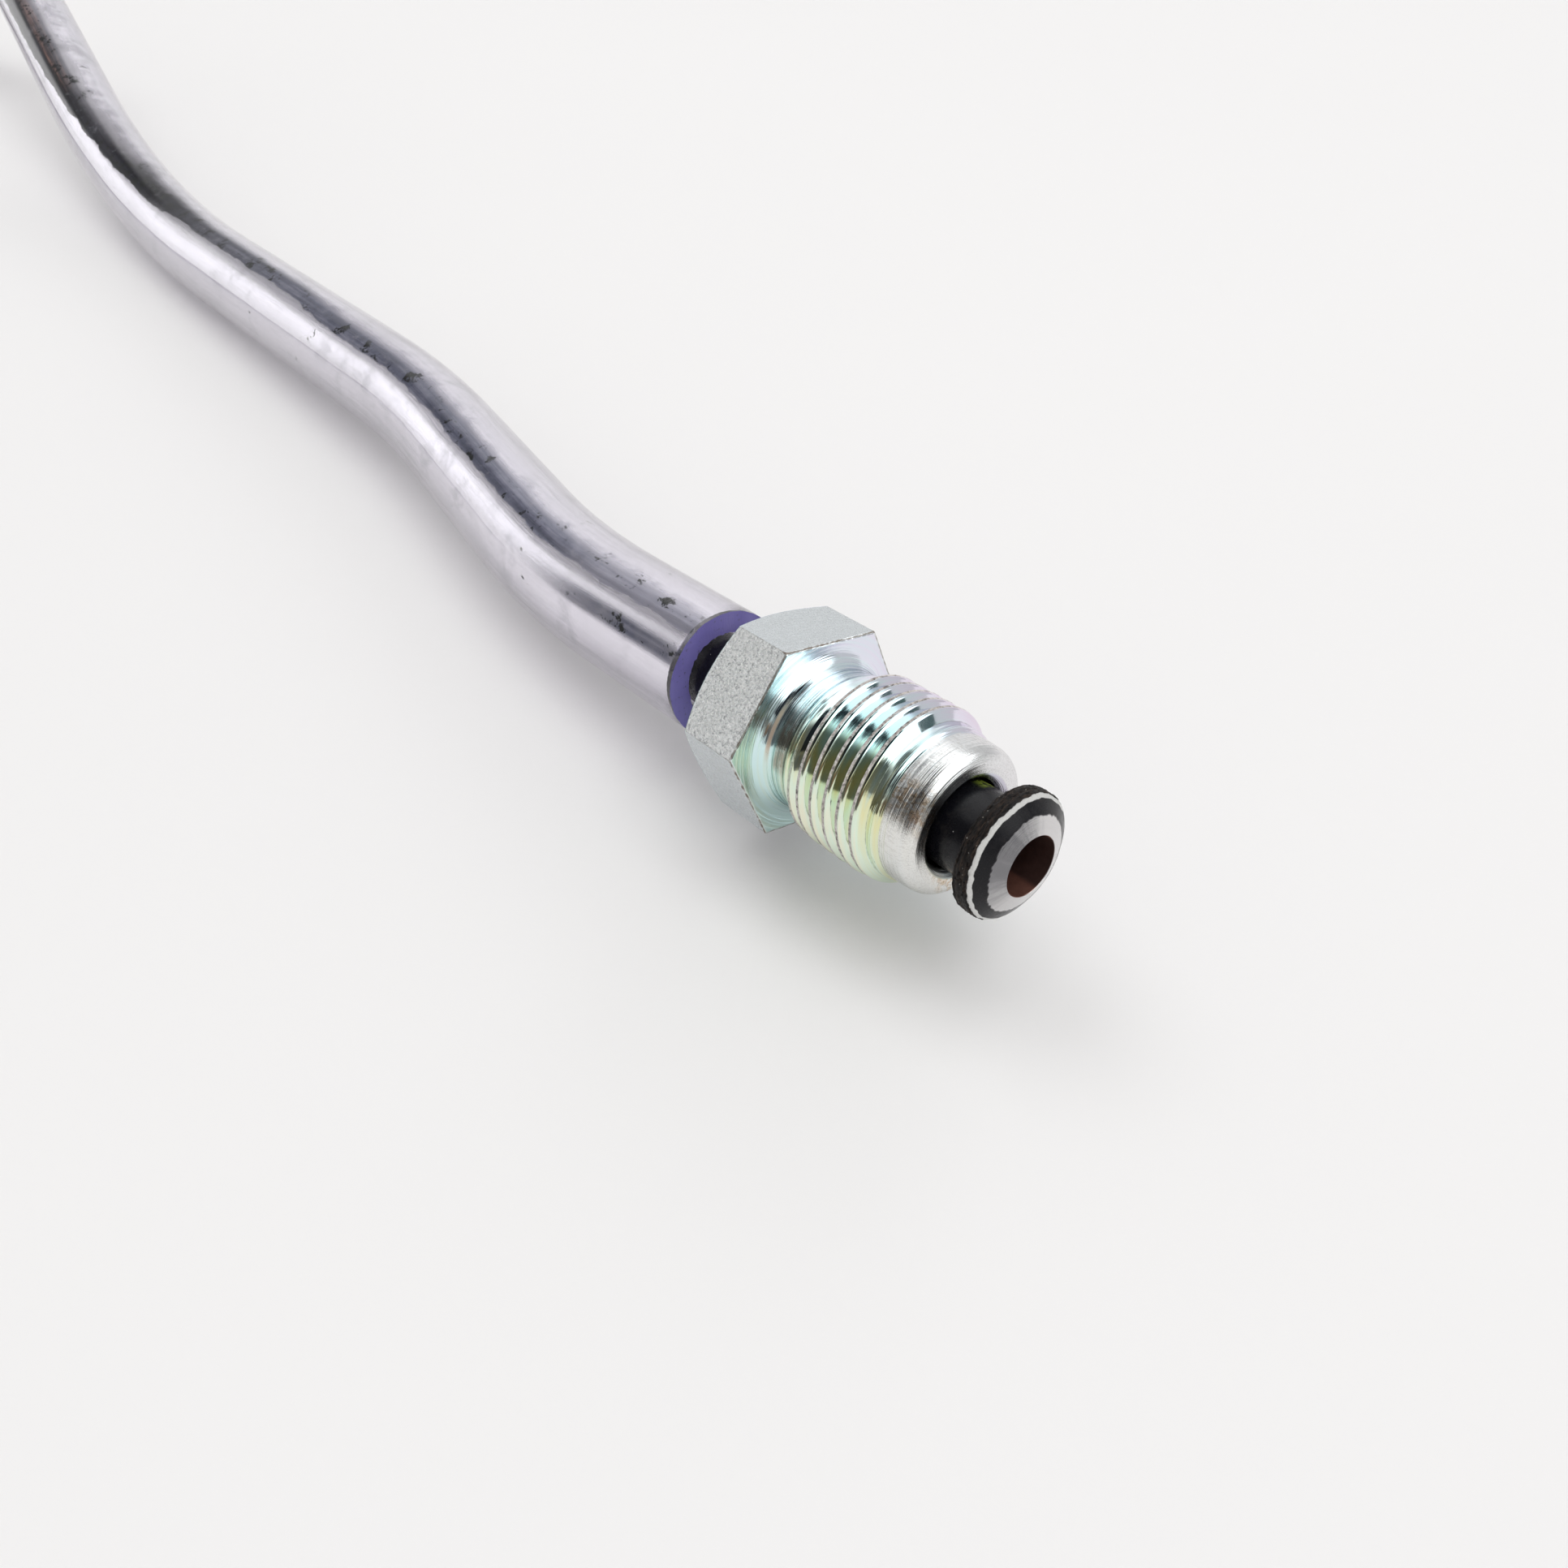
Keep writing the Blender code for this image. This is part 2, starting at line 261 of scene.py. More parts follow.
def ripple(angles, seed, orders, fall=0.6):
    """A ragged line round a circle that meets itself, about -1 to 1."""
    draw = np.random.default_rng(seed)
    total = np.zeros_like(angles)
    weight = 0
    for order in orders:
        size = order ** -fall
        total += size * np.cos(order * angles + draw.uniform(0, FULL_TURN))
        weight += size * size / 2
    return total / (2 * math.sqrt(weight))


def grain(points, scale, seed, octaves=3):
    """Fractal noise at many points, about -1 to 1."""
    shift = Vector((seed * 7.31, seed * 3.17, seed * 5.71))
    return np.array([noise.fractal(Vector(p) * scale + shift, 1.0, 2.0, octaves) for p in points.tolist()])


def ring_faces(first, first_count, second, second_count):
    """Faces between two rings whose vertices start at given numbers. One may have half the count."""
    if first_count < second_count:
        return [face[::-1] for face in ring_faces(second, second_count, first, first_count)]
    faces = []
    for i in range(second_count):
        d, e = second + i, second + (i + 1) % second_count
        if first_count == second_count:
            faces.append((first + i, d, e, first + (i + 1) % first_count))
        else:
            a, b, c = first + 2 * i, first + 2 * i + 1, first + (2 * i + 2) % first_count
            faces += [(a, d, b), (b, d, e), (b, e, c)]
    return faces


def add_object(name, data):
    obj = bpy.data.objects.new(name, data)
    bpy.context.scene.collection.objects.link(obj)
    return obj


def make_mesh(name, points, faces, marks, sharp_degrees):
    """A mesh from points in mm, with one named number or vector on each point for each mark."""
    mesh = bpy.data.meshes.new(name)
    mesh.from_pydata((points * MM).tolist(), [], faces)
    for key, values in marks.items():
        values = np.asarray(values, np.float32)
        kind = "FLOAT_VECTOR" if values.ndim == 2 else "FLOAT"
        layer = mesh.attributes.new(key, kind, "POINT")
        layer.data.foreach_set("vector" if values.ndim == 2 else "value", values.ravel())
    mesh.shade_smooth()
    mesh.set_sharp_from_angle(angle=math.radians(sharp_degrees))
    return mesh


def add_piece(name, mesh, material, body, node):
    obj = add_object(name, mesh)
    mesh.materials.append(material)
    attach(obj, body)
    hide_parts(node)
    return obj


def welded(points, faces, marks):
    """The same faces with points that lie together made one, and faces without area left out."""
    keys = np.round(points * 1e4).astype(np.int64)
    _, first, same = np.unique(keys, axis=0, return_index=True, return_inverse=True)
    same = same.ravel()
    kept = []
    for face in faces:
        ring = [same[i] for i in face]
        ring = [v for i, v in enumerate(ring) if v != ring[i - 1]]
        if len(set(ring)) > 2:
            kept.append(tuple(int(v) for v in ring))
    return points[first], kept, {key: np.asarray(values)[first] for key, values in marks.items()}


# Swept pieces


class Sweep:
    """Rings along the line, each made from a station and its own radii."""

    def __init__(self, line):
        self.line = line
        self.rings = []

    def add(self, distance, radii, along=0.0, skin=0, **marks):
        """One ring: radii and along are arrays in mm. Along shifts points to the rear, and skin
        is the number of the material from this ring to the next."""
        count = len(radii)
        angles = turn_angles(count)
        place, up, side, axis = self.line.at(distance)
        out = np.cos(angles)[:, None] * up + np.sin(angles)[:, None] * side
        along = np.broadcast_to(along, count)
        points = place + out * np.asarray(radii)[:, None] - axis * along[:, None]
        marks = {key: np.broadcast_to(value, count) for key, value in marks.items()}
        self.rings.append((points, round_points(angles, radii, distance + along), marks, skin))

    def mesh(self, name, sharp_degrees):
        """A closed wall: the rings run down the outside and back through the bore."""
        counts = [len(ring[0]) for ring in self.rings]
        starts = np.concatenate([[0], np.cumsum(counts)])
        faces, skins = [], []
        for i, ring in enumerate(self.rings):
            j = (i + 1) % len(self.rings)
            faces += ring_faces(int(starts[i]), counts[i], int(starts[j]), counts[j])
            skins += [ring[3]] * (len(faces) - len(skins))
        marks = {}
        for key in sorted({key for ring in self.rings for key in ring[2]}):
            marks[key] = np.concatenate([ring[2].get(key, np.zeros(len(ring[0]))) for ring in self.rings])
        marks["straight"] = np.concatenate([ring[1] for ring in self.rings])
        points = np.concatenate([ring[0] for ring in self.rings])
        mesh = make_mesh(name, points, faces, marks, sharp_degrees)
        mesh.polygons.foreach_set("material_index", skins)
        return mesh


def flare_outline():
    """Even steps along the flare's outline, as (back, radius), and their normals."""
    corners = np.array(FLARE_OUTLINE)
    steps = np.linalg.norm(np.diff(corners, axis=0), axis=1)
    along = np.concatenate([[0], np.cumsum(steps)])
    rows = []
    for i, step in enumerate(steps):
        count = max(2, round(step / FLARE_ROW))
        rows += [along[i] + step * k / count for k in range(count)]
    rows.append(along[-1])
    outline = np.stack([np.interp(rows, along, corners[:, i]) for i in range(2)], axis=1)
    slope = np.gradient(outline, axis=0)
    normals = np.stack([-slope[:, 1], slope[:, 0]], axis=1)
    normals /= np.linalg.norm(normals, axis=1)[:, None]
    return outline, normals


def flare_rings(seed):
    """Rings of one flare, as (back, radii, along, marks). The coating is worn through to steel
    round the tip, and its rim is torn."""
    angles = turn_angles(FLARE_SIDES)
    from_chip = (angles - CHIP_ANGLE + math.pi) % FULL_TURN - math.pi
    chip = np.exp(-((from_chip / CHIP_WIDTH) ** 2))
    steel_edge = STEEL_EDGE + 0.05 * ripple(angles, seed, range(2, 60), 0.5)
    steel_edge += CHIP_REACH * chip * (1 + 0.5 * ripple(angles, seed + 1, range(8, 70), 0.3))
    pale_ring = PALE_RING + 0.05 * ripple(angles, seed + 6, range(1, 40), 0.5)
    swirl = 0.9 * ripple(angles, seed + 5, range(1, 9))
    rings = []
    for (back, radius), (push_back, push_out) in zip(*flare_outline()):
        place = round_points(angles, radius, back)
        front = float(back < RIM_FRONT - 0.02)
        steel = (1 - smooth(-0.025, 0.025, radius - steel_edge)) * front
        pale = np.exp(-(((radius - pale_ring) / PALE_WIDTH) ** 2)) * front
        on_rim = smooth(0.80, 0.92, back) * (1 - smooth(1.95, 2.1, back))
        flakes = grain(place, 2.4, seed + 2) * 0.5 + grain(place * (1, 1, 2.2), 7.0, seed + 3) * 0.5
        tears = smooth(0.25, 0.6, grain(place * (1, 1, 3.0), 3.1, seed + 4))
        groove_turn = (back - RIM_FRONT - 0.01) * FULL_TURN / RIM_GROOVE_PITCH
        grooves = 0.5 + 0.5 * np.cos(groove_turn + swirl)
        depth = RIM_DEPTH + RIM_FLAKES * flakes + RIM_TEARS * tears + RIM_GROOVES * grooves
        lift = -STEEL_DEPTH * steel - on_rim * depth
        marks = {"steel": steel, "rough": on_rim * (1 - pale), "pale": pale}
        rings.append((back, radius + push_out * lift, push_back * lift, marks))
    return rings


def make_tube(line, material):
    sweep = Sweep(line)
    end = line.length
    for back, radii, along, marks in flare_rings(FRONT_FLARE_SEED):
        sweep.add(back, radii, along, **marks)
    step_down = np.full(FLARE_SIDES // 2, TUBE_RADIUS)
    sweep.add(FLARE_END + 0.3, step_down)
    start = FLARE_END + 0.8
    for distance in np.linspace(start, end - start, round((end - 2 * start) / TUBE_ROW)):
        sweep.add(distance, np.full(TUBE_SIDES, TUBE_RADIUS))
    sweep.add(end - FLARE_END - 0.3, step_down)
    for back, radii, along, marks in reversed(flare_rings(REAR_FLARE_SEED)):
        sweep.add(end - back, radii, -np.asarray(along), **marks)

    mouth = np.full(FLARE_SIDES, BORE_RADIUS)
    step_in = np.full(FLARE_SIDES // 2, BORE_RADIUS)
    sweep.add(end - 0.05, mouth, bore=1.0)
    sweep.add(end - 1.0, step_in, bore=1.0)
    for distance in np.linspace(end - 2.0, 2.0, BORE_ROWS):
        sweep.add(distance, np.full(TUBE_SIDES, BORE_RADIUS), bore=1.0)
    sweep.add(1.0, step_in, bore=1.0)
    sweep.add(0.05, mouth, bore=1.0)
    mesh = sweep.mesh("brake_tube_skin", 32)
    return add_piece("coated_brake_tube", mesh, material, "line", "brake_tube")


def sleeve_outside(sweep, start, stop, slant):
    """The sleeve's waved outside, whose ends are cut a little aslant."""
    angles = turn_angles(SLEEVE_SIDES)
    lip = SLEEVE_LIP * ripple(angles, 43, range(3, 46), 0.3) - 0.03
    ends = np.array(SLEEVE_END_ROWS)
    run = np.linspace(start + 1.1, stop - 1.1, round((stop - start) / SLEEVE_ROW))
    for distance in np.concatenate([start + ends, run, stop - ends[::-1]]):
        from_start, from_stop = distance - start, stop - distance
        sign = 1 if from_start < from_stop else -1
        ragged = 1 - smooth(0.0, 0.5, min(from_start, from_stop))
        straight = round_points(angles, SLEEVE_RADIUS, distance)
        wave = SLEEVE_WAVE * grain(straight * (1, 1, 0.35), 0.16, 5, 2)
        radii = SLEEVE_RADIUS - SLEEVE_WALL_TRIM + wave + ragged * lip
        sweep.add(distance, radii, sign * ragged * slant, int(distance == stop))


def mouth_rings(sweep, end, inward, order):
    """Rings just inside one end of the sleeve, where its bore opens a little."""
    for depth in order:
        opening = 1 - smooth(0.3, SLEEVE_MOUTH_DEPTH, depth)
        radius = SLEEVE_CLING + (SLEEVE_MOUTH - SLEEVE_CLING) * opening
        sweep.add(end + inward * depth, np.full(SLEEVE_SIDES // 2, radius))


def make_sleeve(line, vinyl, cut_vinyl):
    sweep = Sweep(line)
    angles = turn_angles(SLEEVE_SIDES)
    start, stop = SLEEVE_START, line.length - SLEEVE_START
    slant = SLEEVE_SLANT * ripple(angles, 41, range(1, 24), 0.8)
    torn = SLEEVE_MOUTH + SLEEVE_TORN * ripple(angles, 47, range(3, 46), 0.25)
    cut_radii = (SLEEVE_RADIUS - SLEEVE_WALL_TRIM - 0.10, SLEEVE_MOUTH + 0.7, SLEEVE_MOUTH + 0.2)
    sleeve_outside(sweep, start, stop, slant)
    for radius in cut_radii:
        sweep.add(stop, np.full(SLEEVE_SIDES, radius), -slant * 0.8, 1)
    sweep.add(stop - 0.03, torn, -slant * 0.8)
    mouth_rings(sweep, stop, -1, SLEEVE_MOUTH_ROWS)
    deep = SLEEVE_MOUTH_DEPTH + 0.6
    for distance in np.linspace(stop - deep, start + deep, round((stop - start) / SLEEVE_ROW)):
        sweep.add(distance, np.full(SLEEVE_SIDES // 2, SLEEVE_CLING))
    mouth_rings(sweep, start, 1, reversed(SLEEVE_MOUTH_ROWS))
    sweep.add(start + 0.03, torn, slant * 0.8, 1)
    for radius in reversed(cut_radii):
        sweep.add(start, np.full(SLEEVE_SIDES, radius), slant * 0.8, 1)
    mesh = sweep.mesh("sleeve_skin", 40)
    piece = add_piece("clear_protective_sleeve", mesh, vinyl, "line", "protective_sleeve")
    mesh.materials.append(cut_vinyl)
    return piece


# Nuts


def hexagon(angles):
    """The hexagon's outline as a radius for each angle, its corners a little rounded."""
    flat = HEX_ACROSS_FLATS / 2
    within = angles % SIXTH_TURN
    sides = [flat / np.cos(within - math.pi / 6 + k * SIXTH_TURN) for k in (-1, 0, 1)]
    soft = sum(np.exp(-HEX_CORNER_SOFTNESS * (side - flat)) for side in sides)
    return flat - np.log(soft) / HEX_CORNER_SOFTNESS


def shank_radius(z):
    """The turned shank under the thread: neck, core and the step to the nose, at heights z."""
    rise = THREAD_CORE - NECK_RADIUS
    core = NECK_RADIUS + rise * smooth(THREAD_START - 0.4, THREAD_START, z)
    return core - rise * smooth(THREAD_TOP, THREAD_TOP + 0.3, z)


def thread_section():
    """Steps across one pitch of thread: (height from the crest's middle, share of full depth, 1 on
    the crest). The rolls rounded the crest's shoulder on its upper side."""
    depth = THREAD_RADIUS - THREAD_CORE
    low, high = -THREAD_CREST / 2, THREAD_CREST / 2
    run = depth / THREAD_FLANK_SLOPE
    rows = [(low - run * (1 - share), share, 0) for share in (0.0, 0.3, 0.6, 0.88, 0.97)]
    rows += [(low + THREAD_CREST * t, share, 1) for t, share in THREAD_LIP]
    for turn in np.linspace(0, THREAD_SHOULDER_TURN, 6)[1:]:
        out = high + THREAD_SHOULDER * math.sin(turn) / math.sin(THREAD_SHOULDER_TURN)
        drop = THREAD_SHOULDER_DROP * (1 - math.cos(turn)) / (1 - math.cos(THREAD_SHOULDER_TURN))
        rows.append((out, 1 - drop / depth, 0))
    left = depth - THREAD_SHOULDER_DROP
    for t in (0.05, 0.3, 0.6, 1.0):
        out = high + THREAD_SHOULDER + left * t / THREAD_FLANK_SLOPE
        rows.append((out, left * (1 - t) / depth, 0))
    return rows


class NutRings:
    """Rings of points round one nut, each with its marks."""

    def __init__(self):
        self.rows = []

    def add(self, radius, z, **marks):
        self.rows.append((round_points(NUT_ANGLES, radius, z), marks))

    def points(self):
        return np.concatenate([points for points, _ in self.rows])

    def mark(self, key):
        count = len(NUT_ANGLES)
        return np.concatenate([np.broadcast_to(marks.get(key, 0.0), count) for _, marks in self.rows])


def add_thread(rings, seed):
    """The threaded stretch in rings that climb with the thread. Returns the rings in one pitch."""
    section = thread_section()
    turns = math.ceil((HELIX_TOP - HELIX_BOTTOM) / THREAD_PITCH) + 3
    raised_from = THREAD_START + THREAD_PITCH / 2
    raised_to = THREAD_TOP - THREAD_PITCH / 2
    climb = THREAD_PITCH * NUT_ANGLES / FULL_TURN
    for k in range(turns):
        ridge = raised_from + (k - 2) * THREAD_PITCH + climb
        fade = smooth(raised_from - 0.1, raised_from + THREAD_FADE_TURNS, ridge)
        fade = fade * (1 - smooth(raised_to - THREAD_FADE_TURNS, raised_to + 0.1, ridge))
        for offset, share, crest in section:
            z = ridge + offset
            clamped = np.clip(z, HELIX_BOTTOM, HELIX_TOP)
            inside = (z > HELIX_BOTTOM) & (z < HELIX_TOP)
            near = round_points(NUT_ANGLES, THREAD_RADIUS, z)
            burr = grain(near * (1, 1, 3.0), 2.4, seed) * 0.6 + grain(near * (1, 1, 3.0), 6.0, seed + 9) * 0.4
            lump = smooth(0.30, 0.75, grain(near * (1, 1, 0.6), 0.9, seed + 5, 2))
            height = share * (THREAD_RADIUS - THREAD_TRIM - THREAD_CORE)
            height = height + crest * CREST_BURR * burr * (1 + lump)
            radius = shank_radius(clamped) + height * fade * inside
            wander = crest * (CREST_WANDER * burr + CREST_LUMP * lump * offset / THREAD_CREST) * inside
            z = np.clip(clamped + wander, HELIX_BOTTOM, HELIX_TOP)
            lit = fade * inside
            rings.add(radius, z, turned=1.0, crest=crest * lit, root=smooth(0.3, 0.0, share) * lit)
    return len(section)


def add_hexagon(rings, seed):
    """The hexagon from its back face over its chamfer, pitted flats and worn front edge."""
    for out, down in BACK_MOUTH:
        rings.add(NUT_BORE + out, -HEX_LENGTH + down, turned=1.0)
    for radius in (3.4, 4.2, 4.9, HEX_BACK_RADIUS):
        rings.add(radius, -HEX_LENGTH, turned=1.0)
    outline = hexagon(NUT_ANGLES)
    overhang = outline - HEX_BACK_RADIUS
    chamfer_top = -HEX_LENGTH + overhang * HEX_CHAMFER
    for t in np.linspace(0, 1, CHAMFER_ROWS + 1)[1:]:
        rings.add(HEX_BACK_RADIUS + overhang * t, -HEX_LENGTH + (chamfer_top + HEX_LENGTH) * t, turned=1.0)

    sector = np.floor(NUT_ANGLES / SIXTH_TURN + 1e-9).astype(int) % 6
    within = NUT_ANGLES % SIXTH_TURN
    corner = np.minimum(within, SIXTH_TURN - within)
    rough = np.where(sector == ROUGH_SECTOR, 1.0, SMOOTH_FLAT_SHARE)
    for t in np.linspace(0, 1, FLAT_ROWS + 1)[1:]:
        z = chamfer_top + (-HEX_EDGE_BEVEL - chamfer_top) * t
        near = round_points(NUT_ANGLES, outline, z)
        pits = grain(near, 5.2, seed, 3) * 0.6 + grain(near, 2.0, seed + 1, 2) * 0.4
        kept_edges = smooth(0.01, 0.06, corner) * smooth(0.0, 0.1, 1 - t) * smooth(0.0, 0.05, t)
        inset = kept_edges * rough * HEX_PITS * (1 + pits)
        edge = smooth(0.35, 0.0, -z) + smooth(0.10, 0.0, corner * 6.3)
        rings.add(outline - inset, z, flat=1.0, edge=np.clip(edge, 0, 1), rough=rough)

    worn = 0.02 * ripple(NUT_ANGLES, seed + 2, range(3, 90), 0.2)
    rings.add(outline - HEX_EDGE_BEVEL * 0.35 + worn * 0.5, -HEX_EDGE_BEVEL * 0.35, edge=1.0)
    rings.add(outline - HEX_EDGE_BEVEL * 1.1 + worn, -0.004, edge=1.0)
    rim = outline - 0.12
    for t in (0.06, 0.3, 0.6, 0.85):
        rings.add(rim + (FACE_RADIUS - rim) * t, 0.0, turned=1.0)


def add_neck(rings):
    """The fillet from the hexagon's front face and the neck up to the thread."""
    for turn in np.radians(np.linspace(-90, -180, 17)):
        radius = NECK_RADIUS + FILLET_RADIUS + FILLET_RADIUS * math.cos(turn)
        rings.add(radius, FILLET_RADIUS + FILLET_RADIUS * math.sin(turn), turned=1.0)
    for z in (1.2, 1.4, 1.6, HELIX_BOTTOM):
        rings.add(NECK_RADIUS, z, turned=1.0)


def add_nose(rings):
    """The nose from the thread's end over its round and face, its mouth, and the bore."""
    rings.add(shank_radius(HELIX_TOP), HELIX_TOP, turned=1.0, nose=1.0)
    for radius, z in NOSE_SIDE:
        rings.add(radius, z, turned=1.0, nose=1.0)
    for turn in np.radians(np.linspace(4, 84, 15)):
        radius = NOSE_SIDE[-1][0] - NOSE_ROUND + NOSE_ROUND * math.cos(turn)
        rings.add(radius, NOSE_TOP - NOSE_ROUND + NOSE_ROUND * math.sin(turn), turned=1.0, nose=1.0)
    face_width = radius - NOSE_FACE_RADIUS
    for t in (0.3, 0.65, 1.0):
        rings.add(NOSE_FACE_RADIUS + face_width * (1 - t), NOSE_TOP - 0.01 * t, turned=1.0, nose=1.0)
    for out, down in NOSE_MOUTH:
        rings.add(NUT_BORE + out, NOSE_TOP - down, turned=1.0, mouth=1.0)
    for z in (NOSE_TOP - 1.0, NOSE_TOP - 3.0, 3.0, 0.0):
        rings.add(NUT_BORE, z, mouth=1.0)


def nut_mesh(name, seed):
    """One nut: plain rings below and above the thread, and the thread's rings, which climb so that
    each runs on into the ring one pitch higher."""
    rings = NutRings()
    add_hexagon(rings, seed)
    add_neck(rings)
    below = len(rings.rows)
    add_nose(rings)
    plain = len(rings.rows)
    pitch_rows = add_thread(rings, seed + 3)

    count = len(NUT_ANGLES)
    faces = []
    for i in range(plain - 1):
        if i + 1 != below:
            faces += ring_faces((i + 1) * count, count, i * count, count)
    faces += ring_faces(0, count, (plain - 1) * count, count)
    last = len(rings.rows) - 1
    for j in range(plain, last):
        low, high = j * count, (j + 1) * count
        for i in range(count - 1):
            faces.append((low + i, low + i + 1, high + i + 1, high + i))
        joined_low = min(j + pitch_rows, last) * count
        joined_high = min(j + 1 + pitch_rows, last) * count
        faces.append((low + count - 1, joined_low, joined_high, high + count - 1))

    points, faces, marks = welded(rings.points(), faces, {key: rings.mark(key) for key in NUT_MARKS})
    marks["local"] = points
    return make_mesh(name, points, faces, marks, 38)


def nut_matrix(joint, turn):
    """Where a nut sits: its joint's place and axis, with a corner turned from straight up."""
    axis = Vector(joint["axis"]).normalized()
    up = (Vector((0, 0, 1)) - axis * axis.z).normalized()
    facing = Matrix((up, axis.cross(up), axis)).transposed()
    return Matrix.Translation(joint["pos_m"]) @ facing.to_4x4() @ Matrix.Rotation(turn, 4, "Z")


def make_nut(name, joint, turn, seed, material, body, node):
    mesh = nut_mesh(name + "_skin", seed)
    mesh.transform(nut_matrix(joint, turn))
    return add_piece(name, mesh, material, body, node)


# Materials


class Value:
    """A number from a node. Plain arithmetic on it makes more nodes."""

    def __init__(self, nodes, socket):
        self.nodes = nodes
        self.socket = socket

    def __add__(self, other):
        return self.nodes.math("ADD", self, other)

    def __sub__(self, other):
        return self.nodes.math("SUBTRACT", self, other)

    def __rsub__(self, other):
        return self.nodes.math("SUBTRACT", other, self)

    def __mul__(self, other):
        return self.nodes.math("MULTIPLY", self, other)

    def __truediv__(self, other):
        return self.nodes.math("DIVIDE", self, other)


class Nodes:
    """Short names for the nodes that the materials use."""

    def __init__(self, tree):
        self.tree = tree
        self.shader = tree.nodes.get("Principled BSDF")

    def new(self, kind, **settings):
        node = self.tree.nodes.new("ShaderNode" + kind)
        for key, value in settings.items():
            setattr(node, key, value)
        return node

    def put(self, socket, value):
        """Links a socket, or sets a plain value on one. A colour is three numbers."""
        if isinstance(value, Value):
            value = value.socket
        if isinstance(value, bpy.types.NodeSocket):
            self.tree.links.new(value, socket)
        elif value is not None:
            socket.default_value = (*value, 1.0) if socket.type == "RGBA" else value

    def fill(self, node, inputs):
        """Puts values into a node's inputs by name or by number."""
        for key, value in inputs.items():
            self.put(node.inputs[key], value)
        return node

    def set(self, **inputs):
        self.fill(self.shader, {key.replace("_", " "): value for key, value in inputs.items()})

    def mark(self, key):
        return Value(self, self.new("Attribute", attribute_name=key).outputs["Fac"])

    def vector_mark(self, key):
        return self.new("Attribute", attribute_name=key).outputs["Vector"]

    def coordinates(self, output):
        return self.new("TexCoord").outputs[output]

    def noise(self, vector, scale, detail, roughness, distortion=0.0):
        """Noise at one scale, or at its own scale along each axis."""
        if isinstance(scale, tuple):
            mapping = self.fill(self.new("Mapping"), {"Vector": vector, "Scale": scale})
            vector, scale = mapping.outputs["Vector"], 1.0
        node = self.fill(self.new("TexNoise"), {"Vector": vector, "Scale": scale, "Detail": detail})
        self.fill(node, {"Roughness": roughness, "Distortion": distortion})
        return Value(self, node.outputs["Fac"])

    def cells(self, vector, scale):
        node = self.fill(self.new("TexVoronoi"), {"Vector": vector, "Scale": scale})
        return Value(self, node.outputs["Distance"])

    def tilted(self, normal, vector, scale, amount):
        """A normal that leans its own way in each cell, as crystals do."""
        cell = self.fill(self.new("TexVoronoi"), {"Vector": vector, "Scale": scale})
        lean = self.vector_math("SUBTRACT", cell.outputs["Color"], (0.5, 0.5, 0.5))
        lean = self.vector_math("MULTIPLY", lean, self.join(amount, amount, amount))
        return self.vector_math("NORMALIZE", self.vector_math("ADD", normal, lean))

    def vector_math(self, operation, a, b=None):
        node = self.fill(self.new("VectorMath", operation=operation), {0: a, 1: b})
        return node.outputs["Value" if operation == "DOT_PRODUCT" else "Vector"]

    def math(self, operation, a, b=None, clamp=False):
        node = self.fill(self.new("Math", operation=operation, use_clamp=clamp), {0: a, 1: b})
        return Value(self, node.outputs["Value"])

    def span(self, value, low, high, to_low=0.0, to_high=1.0, kind="SMOOTHSTEP"):
        """A step from one value to another as the input goes from low to high."""
        node = self.new("MapRange", interpolation_type=kind)
        self.fill(node, {0: value, 1: low, 2: high, 3: to_low, 4: to_high})
        return Value(self, node.outputs["Result"])

    def spread(self, value, to_low=0.0, to_high=1.0):
        """A noise's usual range turned into another."""
        return self.span(value, 0.3, 0.7, to_low, to_high)

    def band(self, value, low, full, fading, high):
        """1 from full to fading, and 0 below low and above high."""
        return self.span(value, low, full) * self.span(value, high, fading)

    def near(self, value, middle, outer, inner):
        """1 within inner of a middle value, and 0 beyond outer."""
        return self.span(self.math("ABSOLUTE", value - middle), outer, inner)

    def mix(self, share, a, b):
        node = self.new("Mix", data_type="RGBA", clamp_factor=True)
        return self.fill(node, {"Factor": share, 6: a, 7: b}).outputs[2]

    def blend(self, share, a, b):
        node = self.new("Mix", data_type="FLOAT", clamp_factor=True)
        return Value(self, self.fill(node, {"Factor": share, 2: a, 3: b}).outputs[0])

    def ramp(self, share, stops):
        node = self.fill(self.new("ValToRGB"), {"Fac": share})
        elements = node.color_ramp.elements
        while len(elements) < len(stops):
            elements.new(0.5)
        for element, (place, colour) in zip(elements, stops):
            element.position = place
            element.color = (*colour, 1)
        return node.outputs["Color"]

    def bump(self, height, strength, distance_mm, normal=None):
        node = self.fill(self.new("Bump"), {"Height": height, "Strength": strength})
        return self.fill(node, {"Distance": distance_mm * MM, "Normal": normal}).outputs["Normal"]

    def split(self, vector):
        node = self.fill(self.new("SeparateXYZ"), {"Vector": vector})
        return [Value(self, output) for output in node.outputs]

    def join(self, x, y, z):
        return self.fill(self.new("CombineXYZ"), {0: x, 1: y, 2: z}).outputs["Vector"]


def new_material(name):
    material = bpy.data.materials.new(name)
    material.use_nodes = True
    return material, Nodes(material.node_tree)


# The plating's thin film, round the nut from one side to the other
FILM = (
    (0.00, (0.80, 0.70, 0.84)),
    (0.14, (0.82, 0.80, 0.92)),
    (0.30, (0.74, 0.87, 0.92)),
    (0.50, (0.66, 0.88, 0.88)),
    (0.64, (0.66, 0.80, 0.66)),
    (0.74, (0.80, 0.78, 0.42)),
    (0.88, (0.76, 0.90, 0.74)),
    (1.00, (0.88, 0.88, 0.68)),
)

